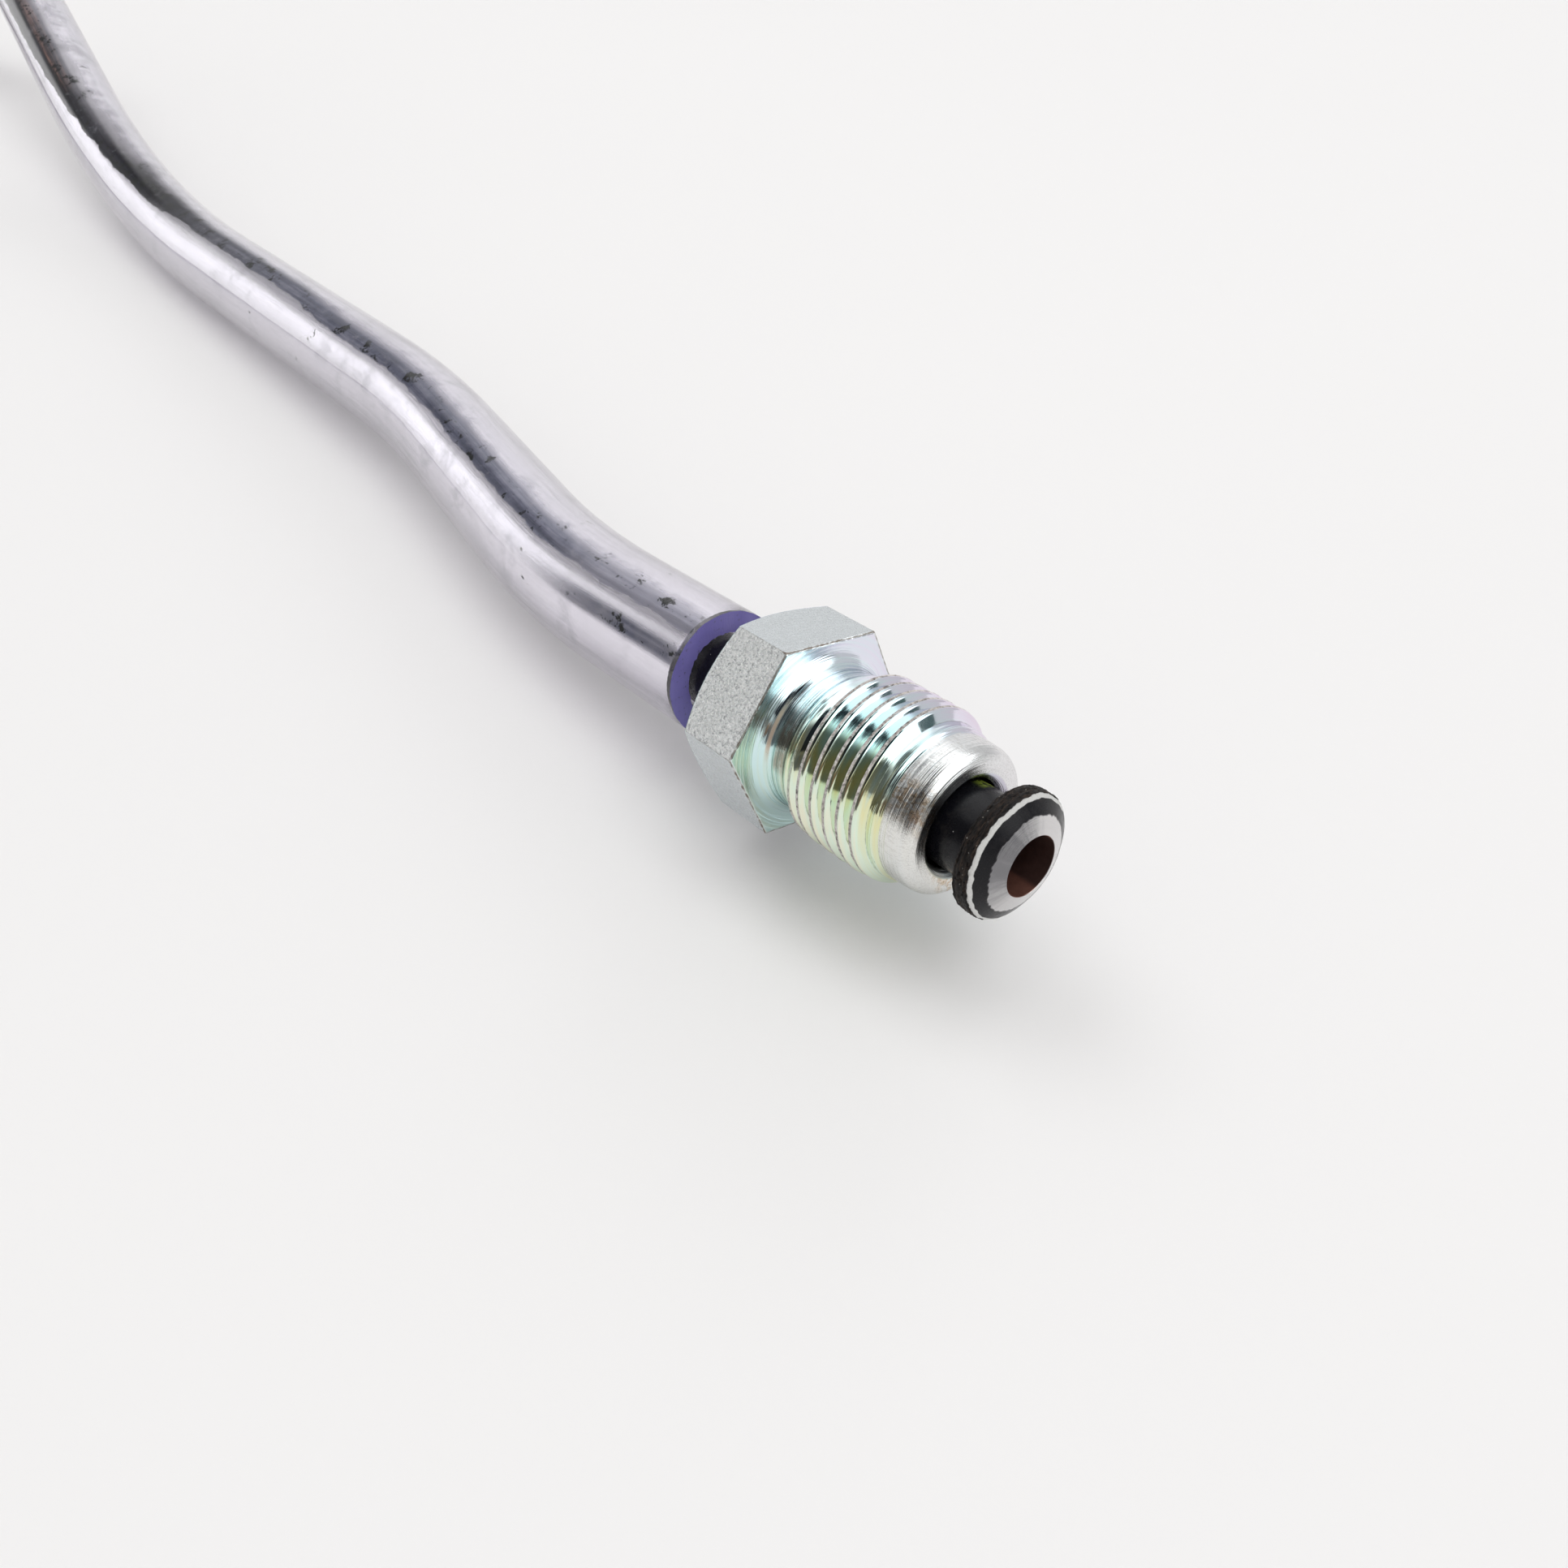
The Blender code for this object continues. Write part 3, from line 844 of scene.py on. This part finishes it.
# Tones of the rough flat's crystals, of the smooth flats, and of the torn crests' crumbs
CRYSTALS = ((0.34, (0.34, 0.35, 0.36)), (0.46, (0.72, 0.74, 0.74)), (0.62, (0.95, 0.96, 0.95)))
SMOOTH_FLAT = ((0.3, (0.60, 0.635, 0.65)), (0.7, (0.67, 0.705, 0.725)))
CREST_CRUMBS = ((0.36, (0.06, 0.05, 0.05)), (0.47, (0.62, 0.57, 0.54)), (0.62, (0.98, 0.94, 0.92)))

# Noises over the nut, as (scale, detail, roughness)
NUT_NOISES = {
    "grit": (2.6, 4.0, 0.65),
    "fine": (11.0, 3.0, 0.7),
    "crumb": (3.8, 5.0, 0.8),
    "crystals": (5.5, 5.0, 0.78),
    "scratch": ((11.0, 11.0, 2.4), 4.0, 0.75),
}

SILVER = (0.74, 0.76, 0.76)
NOSE_SILVER = (0.80, 0.80, 0.80)
NOSE_BRONZE = (0.66, 0.50, 0.36)
NECK_STRAW = (0.92, 0.80, 0.56)
NECK_BRONZE = (0.70, 0.50, 0.36)
NECK_STAIN = (0.34, 0.28, 0.22)
# Painted shade in the thread roots, patchy like dirt
ROOT_SHADE_AND_DIRT = (0.10, 0.09, 0.09)
EDGE_DIRT = (0.17, 0.12, 0.08)
# Painted shade and dark reflection in the nut's mouth and bore
MOUTH_SHADE = (0.17, 0.17, 0.19)
SCRATCH_BROWN = (0.17, 0.13, 0.09)
SPECK_GREY = (0.28, 0.27, 0.26)


class Surface:
    """Places, marks and noises that a piece's colour, shine and relief share."""

    def __init__(self, n, place, marks, noises):
        self.place = n.vector_mark(place)
        self.x, self.y, self.z = n.split(self.place)
        self.radius = n.math("SQRT", self.x * self.x + self.y * self.y)
        for key in marks:
            setattr(self, key, n.mark(key))
        for key, settings in noises.items():
            setattr(self, key, n.noise(self.place, *settings))


class NutSurface(Surface):
    """Z is the height over the hexagon's front face."""

    def __init__(self, n):
        super().__init__(n, "local", NUT_MARKS, NUT_NOISES)
        self.rings = n.noise(n.join(self.radius * 3.2, self.z * 2.6, 0.0), 1.0, 3.0, 0.7)

        # Shares that are bronze, torn or dirty, and the roots' painted shade
        self.bronze = n.band(self.y, 0.8, 1.8, 2.2, 3.2)
        patchy = n.span(self.rings * 0.5 + self.grit * 0.5, 0.32, 0.46, 0.0, 0.85)
        self.strip = n.band(self.z, 0.42, 0.52, 0.62, 0.74) * n.band(self.y, 0.4, 2.2, 3.2, 4.1) * patchy
        self.torn = n.span(self.crest, 0.2, 0.8) * n.span(self.grit, 0.32, 0.46, 0.5, 1.0)
        # Darker in the thread roots: painted shade, patchy like dirt
        self.root_shade_and_dirt = n.span(self.root + self.grit * 0.6, 1.05, 1.4, 0.0, 0.6)
        self.edge_dirt = n.span(self.edge + self.grit * 0.9, 1.30, 1.50, 0.0, 0.8)


def film_colour(n, s):
    """The film's colour drifts round the nut and in fine rings along it."""
    drift = n.noise(s.place, (0.2, 0.2, 0.25), 2.0, 0.5, 0.6)
    film = s.y * n.span(s.z, 1.2, 2.6, 0.04, 0.1) + n.span(s.z, 1.2, 2.6, 0.36, 0.45)
    film = film + (drift * 0.30 - 0.15) + (s.rings * 0.44 - 0.22)
    return n.ramp(film, FILM)


def turned_colour(n, s):
    """The turned faces: a coloured film, bronze patches on the nose, a bronze strip in the fillet
    and a stain on the neck."""
    colour = n.mix(s.turned * 0.9, SILVER, film_colour(n, s))
    worn = n.mix(s.bronze * n.span(s.grit, 0.42, 0.6), NOSE_SILVER, NOSE_BRONZE)
    colour = n.mix(s.nose * 0.9, colour, worn)
    colour = n.mix(s.strip, colour, n.mix(n.span(s.y, 1.2, 3.0), NECK_STRAW, NECK_BRONZE))
    stain = n.band(s.z, 0.85, 1.2, 1.8, 2.5) * n.band(s.y, 1.3, 2.4, 3.7, 4.0)
    return n.mix(stain * n.span(s.grit, 0.30, 0.55, 0.35, 0.85), colour, NECK_STAIN)


def flat_colour(n, s):
    """The hexagon's flats: pale crystals, darker between them on the rough flat."""
    return n.mix(n.span(s.rough, 0.3, 0.9), n.ramp(s.fine, SMOOTH_FLAT), n.ramp(s.crystals, CRYSTALS))


def worn_colour(n, s, colour):
    """Torn crests, painted shade with dirt in the roots, dirt on the edges, painted shade and dark reflection
    in the mouth, and a scratched nose.
    """
    colour = n.mix(s.torn, colour, n.ramp(s.crumb, CREST_CRUMBS))
    colour = n.mix(s.root_shade_and_dirt, colour, ROOT_SHADE_AND_DIRT)
    colour = n.mix(s.edge_dirt, colour, EDGE_DIRT)
    # Painted shade and dark reflection in the mouth and bore, stronger on one side
    colour = n.mix(s.mouth * n.span(s.y, -2.0, 0.6, 0.25, 0.85), colour, MOUTH_SHADE)
    patches = s.bronze * n.span(s.grit, 0.40, 0.62) * 0.55 + 0.14
    colour = n.mix(s.nose * n.span(s.scratch, 0.50, 0.58) * patches, colour, SCRATCH_BROWN)
    return n.mix(n.span(s.fine, 0.60, 0.70) * s.nose * 0.5, colour, SPECK_GREY)


def zinc_shine(n, s):
    crystal_shine = n.spread(s.crystals, 0.22, 0.34)
    shine = n.blend(s.flat, n.spread(s.grit, 0.06, 0.11), crystal_shine)
    shine = n.blend(s.nose, shine, n.span(s.scratch, 0.35, 0.65, 0.15, 0.25))
    shine = n.blend(s.torn, shine, 0.32)
    shine = n.blend(n.math("MAXIMUM", s.root_shade_and_dirt, s.edge_dirt), shine, 0.55)
    return n.blend(s.strip, shine, 0.3)


def zinc_relief(n, s):
    """Turning marks, torn crests, and crystals that lean each its own way."""
    lathe = n.noise(n.join(s.radius * 5.0, s.z * 5.0, s.x * 0.10), 1.0, 3.0, 0.6)
    threaded = n.band(s.z, THREAD_START, THREAD_START + 0.4, THREAD_TOP - 0.3, THREAD_TOP)
    normal = n.bump(lathe * s.turned * (1.0 - threaded * 0.96), 0.9, 0.08)
    normal = n.bump(s.crumb * s.torn, 1.0, 0.20, normal)
    normal = n.bump(s.fine * s.nose, 0.2, 0.04, normal)
    normal = n.bump(s.crystals * (s.flat * s.rough), 1.0, 0.16, normal)
    lean = s.flat * n.span(s.rough, 0.2, 1.0, 0.07, 0.66, kind="LINEAR")
    return n.tilted(normal, s.place, 10.0, lean)


def zinc_material():
    """Bright zinc plating with a thin coloured film on its turned faces and dull crystal flats."""
    material, n = new_material("zinc_plating")
    s = NutSurface(n)
    colour = worn_colour(n, s, n.mix(s.flat, turned_colour(n, s), flat_colour(n, s)))
    metal = n.blend(s.strip, 1.0, 0.45)
    n.set(Base_Color=colour, Metallic=metal, Roughness=zinc_shine(n, s), Normal=zinc_relief(n, s))
    return material


# Tones of the painted dark reflection on the tube under the sleeve, near the front nut and far back
NEAR_REFLECTION_TONES = ((0.36, (0.07, 0.075, 0.10)), (0.50, (0.17, 0.18, 0.23)), (0.64, (0.36, 0.37, 0.43)))
FAR_REFLECTION_TONES = ((0.40, (0.006, 0.006, 0.009)), (0.62, (0.050, 0.050, 0.062)))

# Darker and lighter tones of one thing, and single colours
SLEEVED = ((0.80, 0.79, 0.82), (0.95, 0.94, 0.96))
COATING = ((0.005, 0.005, 0.007), (0.034, 0.029, 0.026))
FLAKES = ((0.006, 0.005, 0.005), (0.060, 0.042, 0.032))
PALE = ((0.50, 0.50, 0.49), (0.78, 0.79, 0.77))
STEEL = ((0.60, 0.59, 0.59), (0.70, 0.69, 0.69))
COPPER = ((0.15, 0.060, 0.045), (0.34, 0.17, 0.13))
# Painted shade on one side of the bore
BORE_SHADE = ((0.040, 0.022, 0.020), (0.13, 0.075, 0.065))
SLEEVED_BROWN = (0.30, 0.17, 0.13)
SLEEVED_SMUDGE = (0.36, 0.36, 0.39)
SLEEVED_SPOT = (0.030, 0.032, 0.030)
SLEEVED_OLIVE = (0.13, 0.13, 0.09)
FLAKE_SPECK = (0.42, 0.40, 0.36)
# Painted glints on the coating
PAINTED_GLINT = (0.62, 0.62, 0.60)
SMEAR_GREEN = (0.17, 0.22, 0.03)
# A painted dark reflection on one side of the flare's steel tip
TIP_REFLECTION_GREY = (0.13, 0.13, 0.14)

# Tones of the vinyl, clear and cut, and of the paper
VINYL = ((0.932, 0.914, 0.974), (0.82, 0.81, 0.84))
VINYL_SHADOW = (0.84, 0.81, 0.86)
CUT_VINYL = ((0.155, 0.125, 0.42), (0.27, 0.235, 0.58))
CUT_CRUMBS = (0.07, 0.05, 0.06)
PAPER = ((0.888, 0.885, 0.884), (0.902, 0.899, 0.898))

# Noises over the tube, as (scale, detail, roughness) and for one its distortion
TUBE_NOISES = {
    "fine": (14.0, 3.0, 0.65),
    "dust": (2.2, 5.0, 0.72),
    "strands": ((1.6, 1.6, 9.0), 5.0, 0.75),
    "length_grain": ((1.8, 1.8, 0.05), 5.0, 0.7),
    "strokes": ((0.42, 0.42, 0.26), 6.0, 0.68),
    "blotches": ((0.7, 0.7, 0.45), 6.0, 0.75, 0.3),
}


class TubeSurface(Surface):
    """Along is the distance from the front tip, and the angle is 0 on top."""

    def __init__(self, n, sleeve_end):
        super().__init__(n, "straight", ("steel", "rough", "pale", "bore"), TUBE_NOISES)
        self.along = self.z
        self.angle = n.math("ARCTAN2", self.y, self.x) * math.degrees(1)
        rings = n.join(self.radius * 16.0, self.along * 16.0, self.x * 0.3)
        self.brushed = n.noise(rings, 1.0, 3.0, 0.6)
        self.pale_line = n.span(self.pale + self.dust * 0.8, 0.72, 0.95)
        begun = n.span(self.along, SLEEVE_START + 0.5, SLEEVE_START + 1.1)
        self.covered = begun * (1.0 - self.bore) * n.math("LESS_THAN", self.along, sleeve_end - 0.8)


def painted_sleeved_reflection(n, s):
    """A painted dark reflection on the tube's upper side: an uneven stripe, sharp below, fading upward, wider
    far back.
    """
    lower = n.span(s.along, 82, 96, 27, 16) + n.span(s.along, 120, 134, 0, 16)
    lower = lower + n.span(s.along, 136, 188, 0, 36) - 11.0 + s.strokes * 22.0
    under = lower - s.angle
    reach = n.span(s.along, 116, 140, 42, 84) + n.span(s.along, 150, 176, 0, 24)
    reach = reach * n.span(s.strokes, 0.30, 0.70, 0.82, 1.22)
    fade = n.span(under / reach, 1.0, n.span(s.along, 125, 150, 0.45, 0.15))
    reflection_stripe = fade * n.span(under, -1.5, 2.0) * n.span(s.along, 34, 42, 0.72, 1.0)
    end_patch = n.near(s.angle, 57.0, 15, 5) * n.span(s.along, 42, 31)
    reflection_stripe = n.math("MAXIMUM", reflection_stripe, end_patch * n.span(s.strokes, 0.3, 0.6, 0.6, 1.0))

    # The sleeve's unseen rear half has less of the painted reflection
    reflection_stripe = reflection_stripe * n.span(s.along, 232, 205, 0.25, 1.0)
    return reflection_stripe * n.span(s.blotches, 0.25, 0.45, 0.72, 1.0)


# Tones of the painted reflection: streaky near the nut, near black with a brown patch far back
def sleeved_reflection_colour(n, s):
    streaky = s.length_grain * 0.6 + s.strokes * 0.4
    brown = n.near(s.angle, 27.0, 14, 7) * n.band(s.along, 163, 169, 184, 192)
    far_tone = n.mix(brown * n.span(s.length_grain, 0.35, 0.6), n.ramp(streaky, FAR_REFLECTION_TONES), SLEEVED_BROWN)
    return n.mix(n.span(s.along, 88, 134), n.ramp(streaky, NEAR_REFLECTION_TONES), far_tone)


def under_sleeve_look(n, s):
    """The tube where the sleeve clings to it: bright silver with a painted dark reflection on one side and
    small dark spots. Returns its colour, shine and metal."""
    reflection_stripe = painted_sleeved_reflection(n, s)
    colour = n.mix(n.spread(s.length_grain), *SLEEVED)
    colour = n.mix(n.span(s.strokes, 0.50, 0.74) * 0.42, colour, SLEEVED_SMUDGE)
    # Painted dark reflection on the tube's upper side
    colour = n.mix(reflection_stripe, colour, sleeved_reflection_colour(n, s))

    # Black spots, more of them in the painted reflection stripe, and small olive ones
    spots = n.span(reflection_stripe * 0.12 + s.blotches, 0.66, 0.71)
    colour = n.mix(spots, colour, SLEEVED_SPOT)
    specks = n.span(n.noise(s.place, (1.3, 1.3, 0.6), 4.0, 0.6), 0.70, 0.74)
    colour = n.mix(specks * 0.8, colour, SLEEVED_OLIVE)
    shine = n.blend(reflection_stripe, n.spread(s.length_grain, 0.08, 0.22), 0.26)
    metal = n.blend(n.math("MAXIMUM", reflection_stripe, spots), 0.92, 0.45)
    return colour, shine, metal


def coating_colour(n, s):
    """The black coating: dusty, brown and flaked on the rim, with painted glints, a green smear behind the
    flare and a pale ring on its seat."""
    black = n.mix(n.span(s.dust, 0.56, 0.82), *COATING)
    flake = n.mix(n.span(s.strands, 0.45, 0.72), *FLAKES)
    colour = n.mix(s.rough, black, flake)
    specks = n.span(n.cells(s.place, 3.2), 0.14, 0.05) * s.rough
    colour = n.mix(specks * 0.6, colour, FLAKE_SPECK)
    # Painted glints: small white specks
    colour = n.mix(n.span(n.cells(s.place, 1.5), 0.055, 0.02) * 0.8, colour, PAINTED_GLINT)
    smear = n.near(s.angle, -40.1, 28.65, 14.32) * n.near(s.along, 4.25, 0.50, 0.25)
    colour = n.mix(smear * n.span(s.dust, 0.40, 0.52), colour, SMEAR_GREEN)
    return n.mix(s.pale_line, colour, n.mix(s.fine, *PALE))


def bare_steel_colour(n, s):
    """Brushed steel, with a painted dark reflection on one side of the tip in ragged spokes."""
    round_place = n.join(s.x / s.radius, s.y / s.radius, s.along * 0.2)
    spokes = n.noise(round_place, 2.2, 4.0, 0.7)
    # Painted dark reflection on one side of the steel tip, in ragged spokes
    tip_reflection = n.span(spokes * 1.6 + (s.x * 0.7 + s.y) / s.radius, 0.8, 2.0)
    return n.mix(tip_reflection * 0.85, n.mix(s.brushed, *STEEL), TIP_REFLECTION_GREY)


def bore_colour(n, s):
    """Copper tones in the bore, with painted shade on one side."""
    grime = n.noise(s.place, 1.6, 4.0, 0.7)
    # Painted shade: copper where lit, the shade tones elsewhere
    lit = n.span(s.x * 0.4 + s.y, -1.25, -0.95)
    return n.mix(lit, n.mix(grime, *BORE_SHADE), n.mix(grime, *COPPER))


def coat_shine(n, s):
    shine = n.blend(s.rough, n.spread(s.dust, 0.20, 0.34), n.spread(s.strands, 0.35, 0.65))
    shine = n.blend(s.pale_line, shine, 0.5)
    shine = n.blend(s.steel, shine, n.spread(s.brushed, 0.16, 0.22))
    return n.blend(s.bore, shine, 0.38)


def coat_material(sleeve_end):
    """Black coating over steel: satin and dusty, worn to bright steel at the flare's tip."""
    material, n = new_material("black_coating")
    s = TubeSurface(n, sleeve_end)
    colour = n.mix(s.steel, coating_colour(n, s), bare_steel_colour(n, s))
    colour = n.mix(s.bore, colour, bore_colour(n, s))
    metal = n.math("MAXIMUM", s.steel, s.bore * 0.6, clamp=True)
    sleeved_colour, sleeved_shine, sleeved_metal = under_sleeve_look(n, s)
    n.set(Base_Color=n.mix(s.covered, colour, sleeved_colour))
    n.set(Roughness=n.blend(s.covered, coat_shine(n, s), sleeved_shine))
    n.set(Metallic=n.blend(s.covered, metal, sleeved_metal))
    relief = s.fine * 0.4 + s.brushed * (s.steel * 0.6) + s.length_grain * s.covered * 1.6
    normal = n.bump(s.strands * s.rough, 0.9, 0.12, n.bump(relief, 0.3, 0.04))
    n.set(Normal=normal, Specular_IOR_Level=0.22)
    return material


def vinyl_material():
    """Clear vinyl with a lavender tint, scuffed and scratched."""
    material, n = new_material("clear_vinyl")
    place = n.vector_mark("straight")
    scuffs = n.noise(place, (0.5, 0.5, 0.2), 5.0, 0.7, 0.5)
    scratches = n.noise(place, (5.0, 5.0, 0.25), 3.0, 0.6)
    marks = n.span(scuffs, 0.58, 0.72)
    tint = n.mix(marks * 0.5, *VINYL)
    shine = n.blend(marks, 0.03, n.span(scratches, 0.4, 0.7, 0.05, 0.20))
    normal = n.bump(scuffs + scratches * 0.2, 0.12, 0.05)
    n.set(Base_Color=tint, Roughness=shine, Normal=normal, IOR=1.53, Transmission_Weight=1.0)
    clear = n.fill(n.new("BsdfTransparent"), {"Color": VINYL_SHADOW})
    shadow_ray = n.new("LightPath").outputs["Is Shadow Ray"]
    shaders = {1: n.shader.outputs["BSDF"], 2: clear.outputs["BSDF"]}
    mixed = n.fill(n.new("MixShader"), {"Fac": shadow_ray, **shaders})
    n.fill(n.tree.nodes["Material Output"], {"Surface": mixed.outputs["Shader"]})
    return material


def cut_vinyl_material():
    """The sleeve's sawn ends: frosted, so the vinyl's violet shows."""
    material, n = new_material("cut_vinyl")
    place = n.vector_mark("straight")
    cloud = n.noise(place, 0.6, 4.0, 0.6)
    saw = n.noise(place, (1.0, 9.0, 1.0), 3.0, 0.6)
    crumbs = n.span(n.noise(place, 3.4, 4.0, 0.7), 0.60, 0.68)
    colour = n.mix(crumbs * 0.6, n.mix(cloud, *CUT_VINYL), CUT_CRUMBS)
    n.set(Base_Color=colour, Roughness=0.42, Normal=n.bump(saw + crumbs, 0.3, 0.04))
    return material


def paper_material():
    """Pale matte paper with a faint tooth."""
    material, n = new_material("pale_paper")
    place = n.coordinates("Object")
    cloud = n.noise(place, 9.0, 3.0, 0.5)
    tooth = n.noise(place, 1300.0, 3.0, 0.6)
    colour = n.mix(cloud, *PAPER)
    n.set(Base_Color=colour, Roughness=0.75, Normal=n.bump(tooth, 0.25, 0.06), Specular_IOR_Level=0.2)
    return material


# Stage. Azimuth 0 is +X and 90 is away from the camera, in degrees.

FLOOR_HEIGHT = -0.00006
FLOOR_HALF = 3.0

# Soft round lamps a metre from their target: name, azimuth, elevation, size in metres, strength
LAMP_TARGET = Vector((0.10, -0.05, 0.0))
LAMPS = (
    ("back_lamp", 140, 60, 0.6, 1.55),
    ("low_lamp", 60, 30, 0.4, 0.65),
    ("front_lamp", -45, 60, 0.6, 1.76),
    ("top_lamp", 30, 78, 0.5, 0.87),
)

# Cards that stand round the front nut: name, azimuth, distance in mm, width in degrees, lower and
# upper edge in mm, lower and upper colour
CARD_CENTRE = Vector((141.0, -102.0, 0.0))
CARDS = (
    ("hand", -99, 95, 22, 15, 44, (0.15, 0.085, 0.06), (0.30, 0.17, 0.11)),
    ("near_body", -59, 170, 28, 20, 68, (0.17, 0.17, 0.15), (0.075, 0.085, 0.085)),
    ("far_body", -105, 500, 95, 36, 190, (0.10, 0.10, 0.11), (0.08, 0.085, 0.09)),
    ("small_body", -7, 250, 14, 60, 104, (0.10, 0.14, 0.14), (0.07, 0.10, 0.10)),
)

# The dark body that held the camera, right and up from the lens in mm
CAMERA_BODY = ((-65, -14), (10, -14), (26, 150), (-49, 150))
CAMERA_BODY_COLOUR = (0.012, 0.013, 0.018)

# The room that gloss reflects, as azimuth, elevation, outer and inner spread, and what it adds or
# the share it takes away
ROOM = 0.62
BRIGHT_SIDES = (
    (88, 6, 30, 14, 0.30),
    (148, 10, 26, 11, 1.00),
    (112, 62, 42, 25, 0.90),
    (-28, 48, 38, 28, 1.80),
)
DARK_SIDES = (
    (-155, 14, 52, 36, 0.80),
    (116, 25, 18, 9, 0.50),
    (138, 34, 17, 10, 0.85),
)
PLAIN_LIGHT = 0.635
PLAIN_COLOUR = (1.0, 0.985, 0.98)
BACKDROP_COLOUR = (0.62, 0.61, 0.605)


def flat_mesh(name, corners):
    """One face from its four corners in metres."""
    mesh = bpy.data.meshes.new(name)
    mesh.from_pydata(corners, [], [(0, 1, 2, 3)])
    return mesh


def make_floor():
    half = FLOOR_HALF
    mesh = flat_mesh("paper", [(-half, -half, 0), (half, -half, 0), (half, half, 0), (-half, half, 0)])
    floor = add_object("paper_floor", mesh)
    mesh.materials.append(paper_material())
    floor.location.z = FLOOR_HEIGHT


def direction(azimuth, elevation):
    """A unit vector."""
    a, e = math.radians(azimuth), math.radians(elevation)
    return Vector((math.cos(a) * math.cos(e), math.sin(a) * math.cos(e), math.sin(e)))


def add_lamp(name, azimuth, elevation, size, strength):
    """A lamp that looks at its target and that gloss doesn't see."""
    data = bpy.data.lights.new(name, "AREA")
    data.shape = "DISK"
    data.size = size
    data.energy = strength
    lamp = add_object(name, data)
    out = direction(azimuth, elevation)
    lamp.location = LAMP_TARGET + out
    lamp.rotation_euler = (-out).to_track_quat("-Z", "Y").to_euler()
    lamp.visible_glossy = False
    lamp.visible_transmission = False


def add_card(name, corners, low_colour, high_colour):
    """A flat card that only reflections see, from its corners in mm, its lower two first."""
    mesh = flat_mesh(name, [tuple(corner * MM) for corner in corners])
    share = mesh.attributes.new("share", "FLOAT", "POINT")
    share.data.foreach_set("value", (0.0, 0.0, 1.0, 1.0))
    card = add_object(name, mesh)
    material, n = new_material(name)
    n.set(Base_Color=(0, 0, 0), Roughness=1.0, Specular_IOR_Level=0.0, Emission_Strength=1.0)
    n.set(Emission_Color=n.mix(n.mark("share"), low_colour, high_colour))
    mesh.materials.append(material)
    card.visible_camera = False
    card.visible_diffuse = False
    card.visible_shadow = False


def standing_card(name, azimuth, distance, width, low, high, low_colour, high_colour):
    middle = CARD_CENTRE + direction(azimuth, 0) * distance
    across = direction(azimuth + 90, 0) * distance * math.tan(math.radians(width / 2))
    left, right = middle - across, middle + across
    corners = [left + Vector((0, 0, low)), right + Vector((0, 0, low))]
    corners += [right + Vector((0, 0, high)), left + Vector((0, 0, high))]
    add_card(name, corners, low_colour, high_colour)


def camera_body_card():
    """The camera's body as a card in the lens's plane."""
    right = Vector((1, 0, 0))
    up = Vector((0, math.sin(CAMERA_PITCH), math.cos(CAMERA_PITCH)))
    corners = [Vector(CAMERA_PLACE) + right * x + up * y for x, y in CAMERA_BODY]
    add_card("camera_body", corners, CAMERA_BODY_COLOUR, CAMERA_BODY_COLOUR)


def lobe(n, place, azimuth, elevation, outer, inner):
    """1 within inner degrees of a direction, 0 beyond outer degrees."""
    dot = n.vector_math("DOT_PRODUCT", place, direction(azimuth, elevation))
    return n.span(dot, math.cos(math.radians(outer)), math.cos(math.radians(inner)))


def background(n, colour, strength):
    return n.fill(n.new("Background"), {"Color": colour, "Strength": strength}).outputs["Background"]


def make_world():
    """Even pale light, a room with bright and dark sides for reflections, and a grey backdrop."""
    world = bpy.data.worlds.new("studio")
    bpy.context.scene.world = world
    world.use_nodes = True
    n = Nodes(world.node_tree)
    place = n.coordinates("Generated")
    room = ROOM
    for azimuth, elevation, outer, inner, light in BRIGHT_SIDES:
        room = lobe(n, place, azimuth, elevation, outer, inner) * light + room
    for azimuth, elevation, outer, inner, depth in DARK_SIDES:
        room = room * (1.0 - lobe(n, place, azimuth, elevation, outer, inner) * depth)
    rays = n.new("LightPath").outputs
    gloss = n.math("MAXIMUM", rays["Is Glossy Ray"], rays["Is Transmission Ray"])
    plain = background(n, PLAIN_COLOUR, PLAIN_LIGHT)
    reflected = background(n, (1, 1, 1), room)
    lit = n.fill(n.new("MixShader"), {"Fac": gloss, 1: plain, 2: reflected}).outputs["Shader"]
    backdrop = background(n, BACKDROP_COLOUR, 1.0)
    seen = n.fill(n.new("MixShader"), {"Fac": rays["Is Camera Ray"], 1: lit, 2: backdrop})
    n.fill(n.tree.nodes["World Output"], {"Surface": seen.outputs["Shader"]})


def make_light():
    make_world()
    for lamp in LAMPS:
        add_lamp(*lamp)
    camera_body_card()
    for card in CARDS:
        standing_card(*card)


def make_camera():
    data = bpy.data.cameras.new("camera")
    data.sensor_width = SENSOR_WIDTH
    data.lens = CAMERA_FOCAL_SHARE * SENSOR_WIDTH
    data.clip_start = 0.005
    data.clip_end = 20
    camera = add_object("camera", data)
    camera.location = Vector(CAMERA_PLACE) * MM
    camera.rotation_euler = (math.pi / 2 - CAMERA_PITCH, 0, 0)
    bpy.context.scene.camera = camera


def main():
    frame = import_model()
    bpy.context.scene.view_settings.view_transform = "Standard"
    make_camera()
    make_floor()
    make_light()
    line = Line()
    make_tube(line, coat_material(line.length - SLEEVE_START))
    make_sleeve(line, vinyl_material(), cut_vinyl_material())
    zinc = zinc_material()
    joints = {joint["name"]: joint for joint in frame["joints"]}
    front, rear = joints["front_nut_spin"], joints["rear_nut_spin"]
    make_nut("front_zinc_nut", front, FRONT_NUT_TURN, FRONT_NUT_SEED, zinc, "front_nut", "front_tube_nut")
    make_nut("rear_zinc_nut", rear, REAR_NUT_TURN, REAR_NUT_SEED, zinc, "rear_nut", "rear_tube_nut")


main()
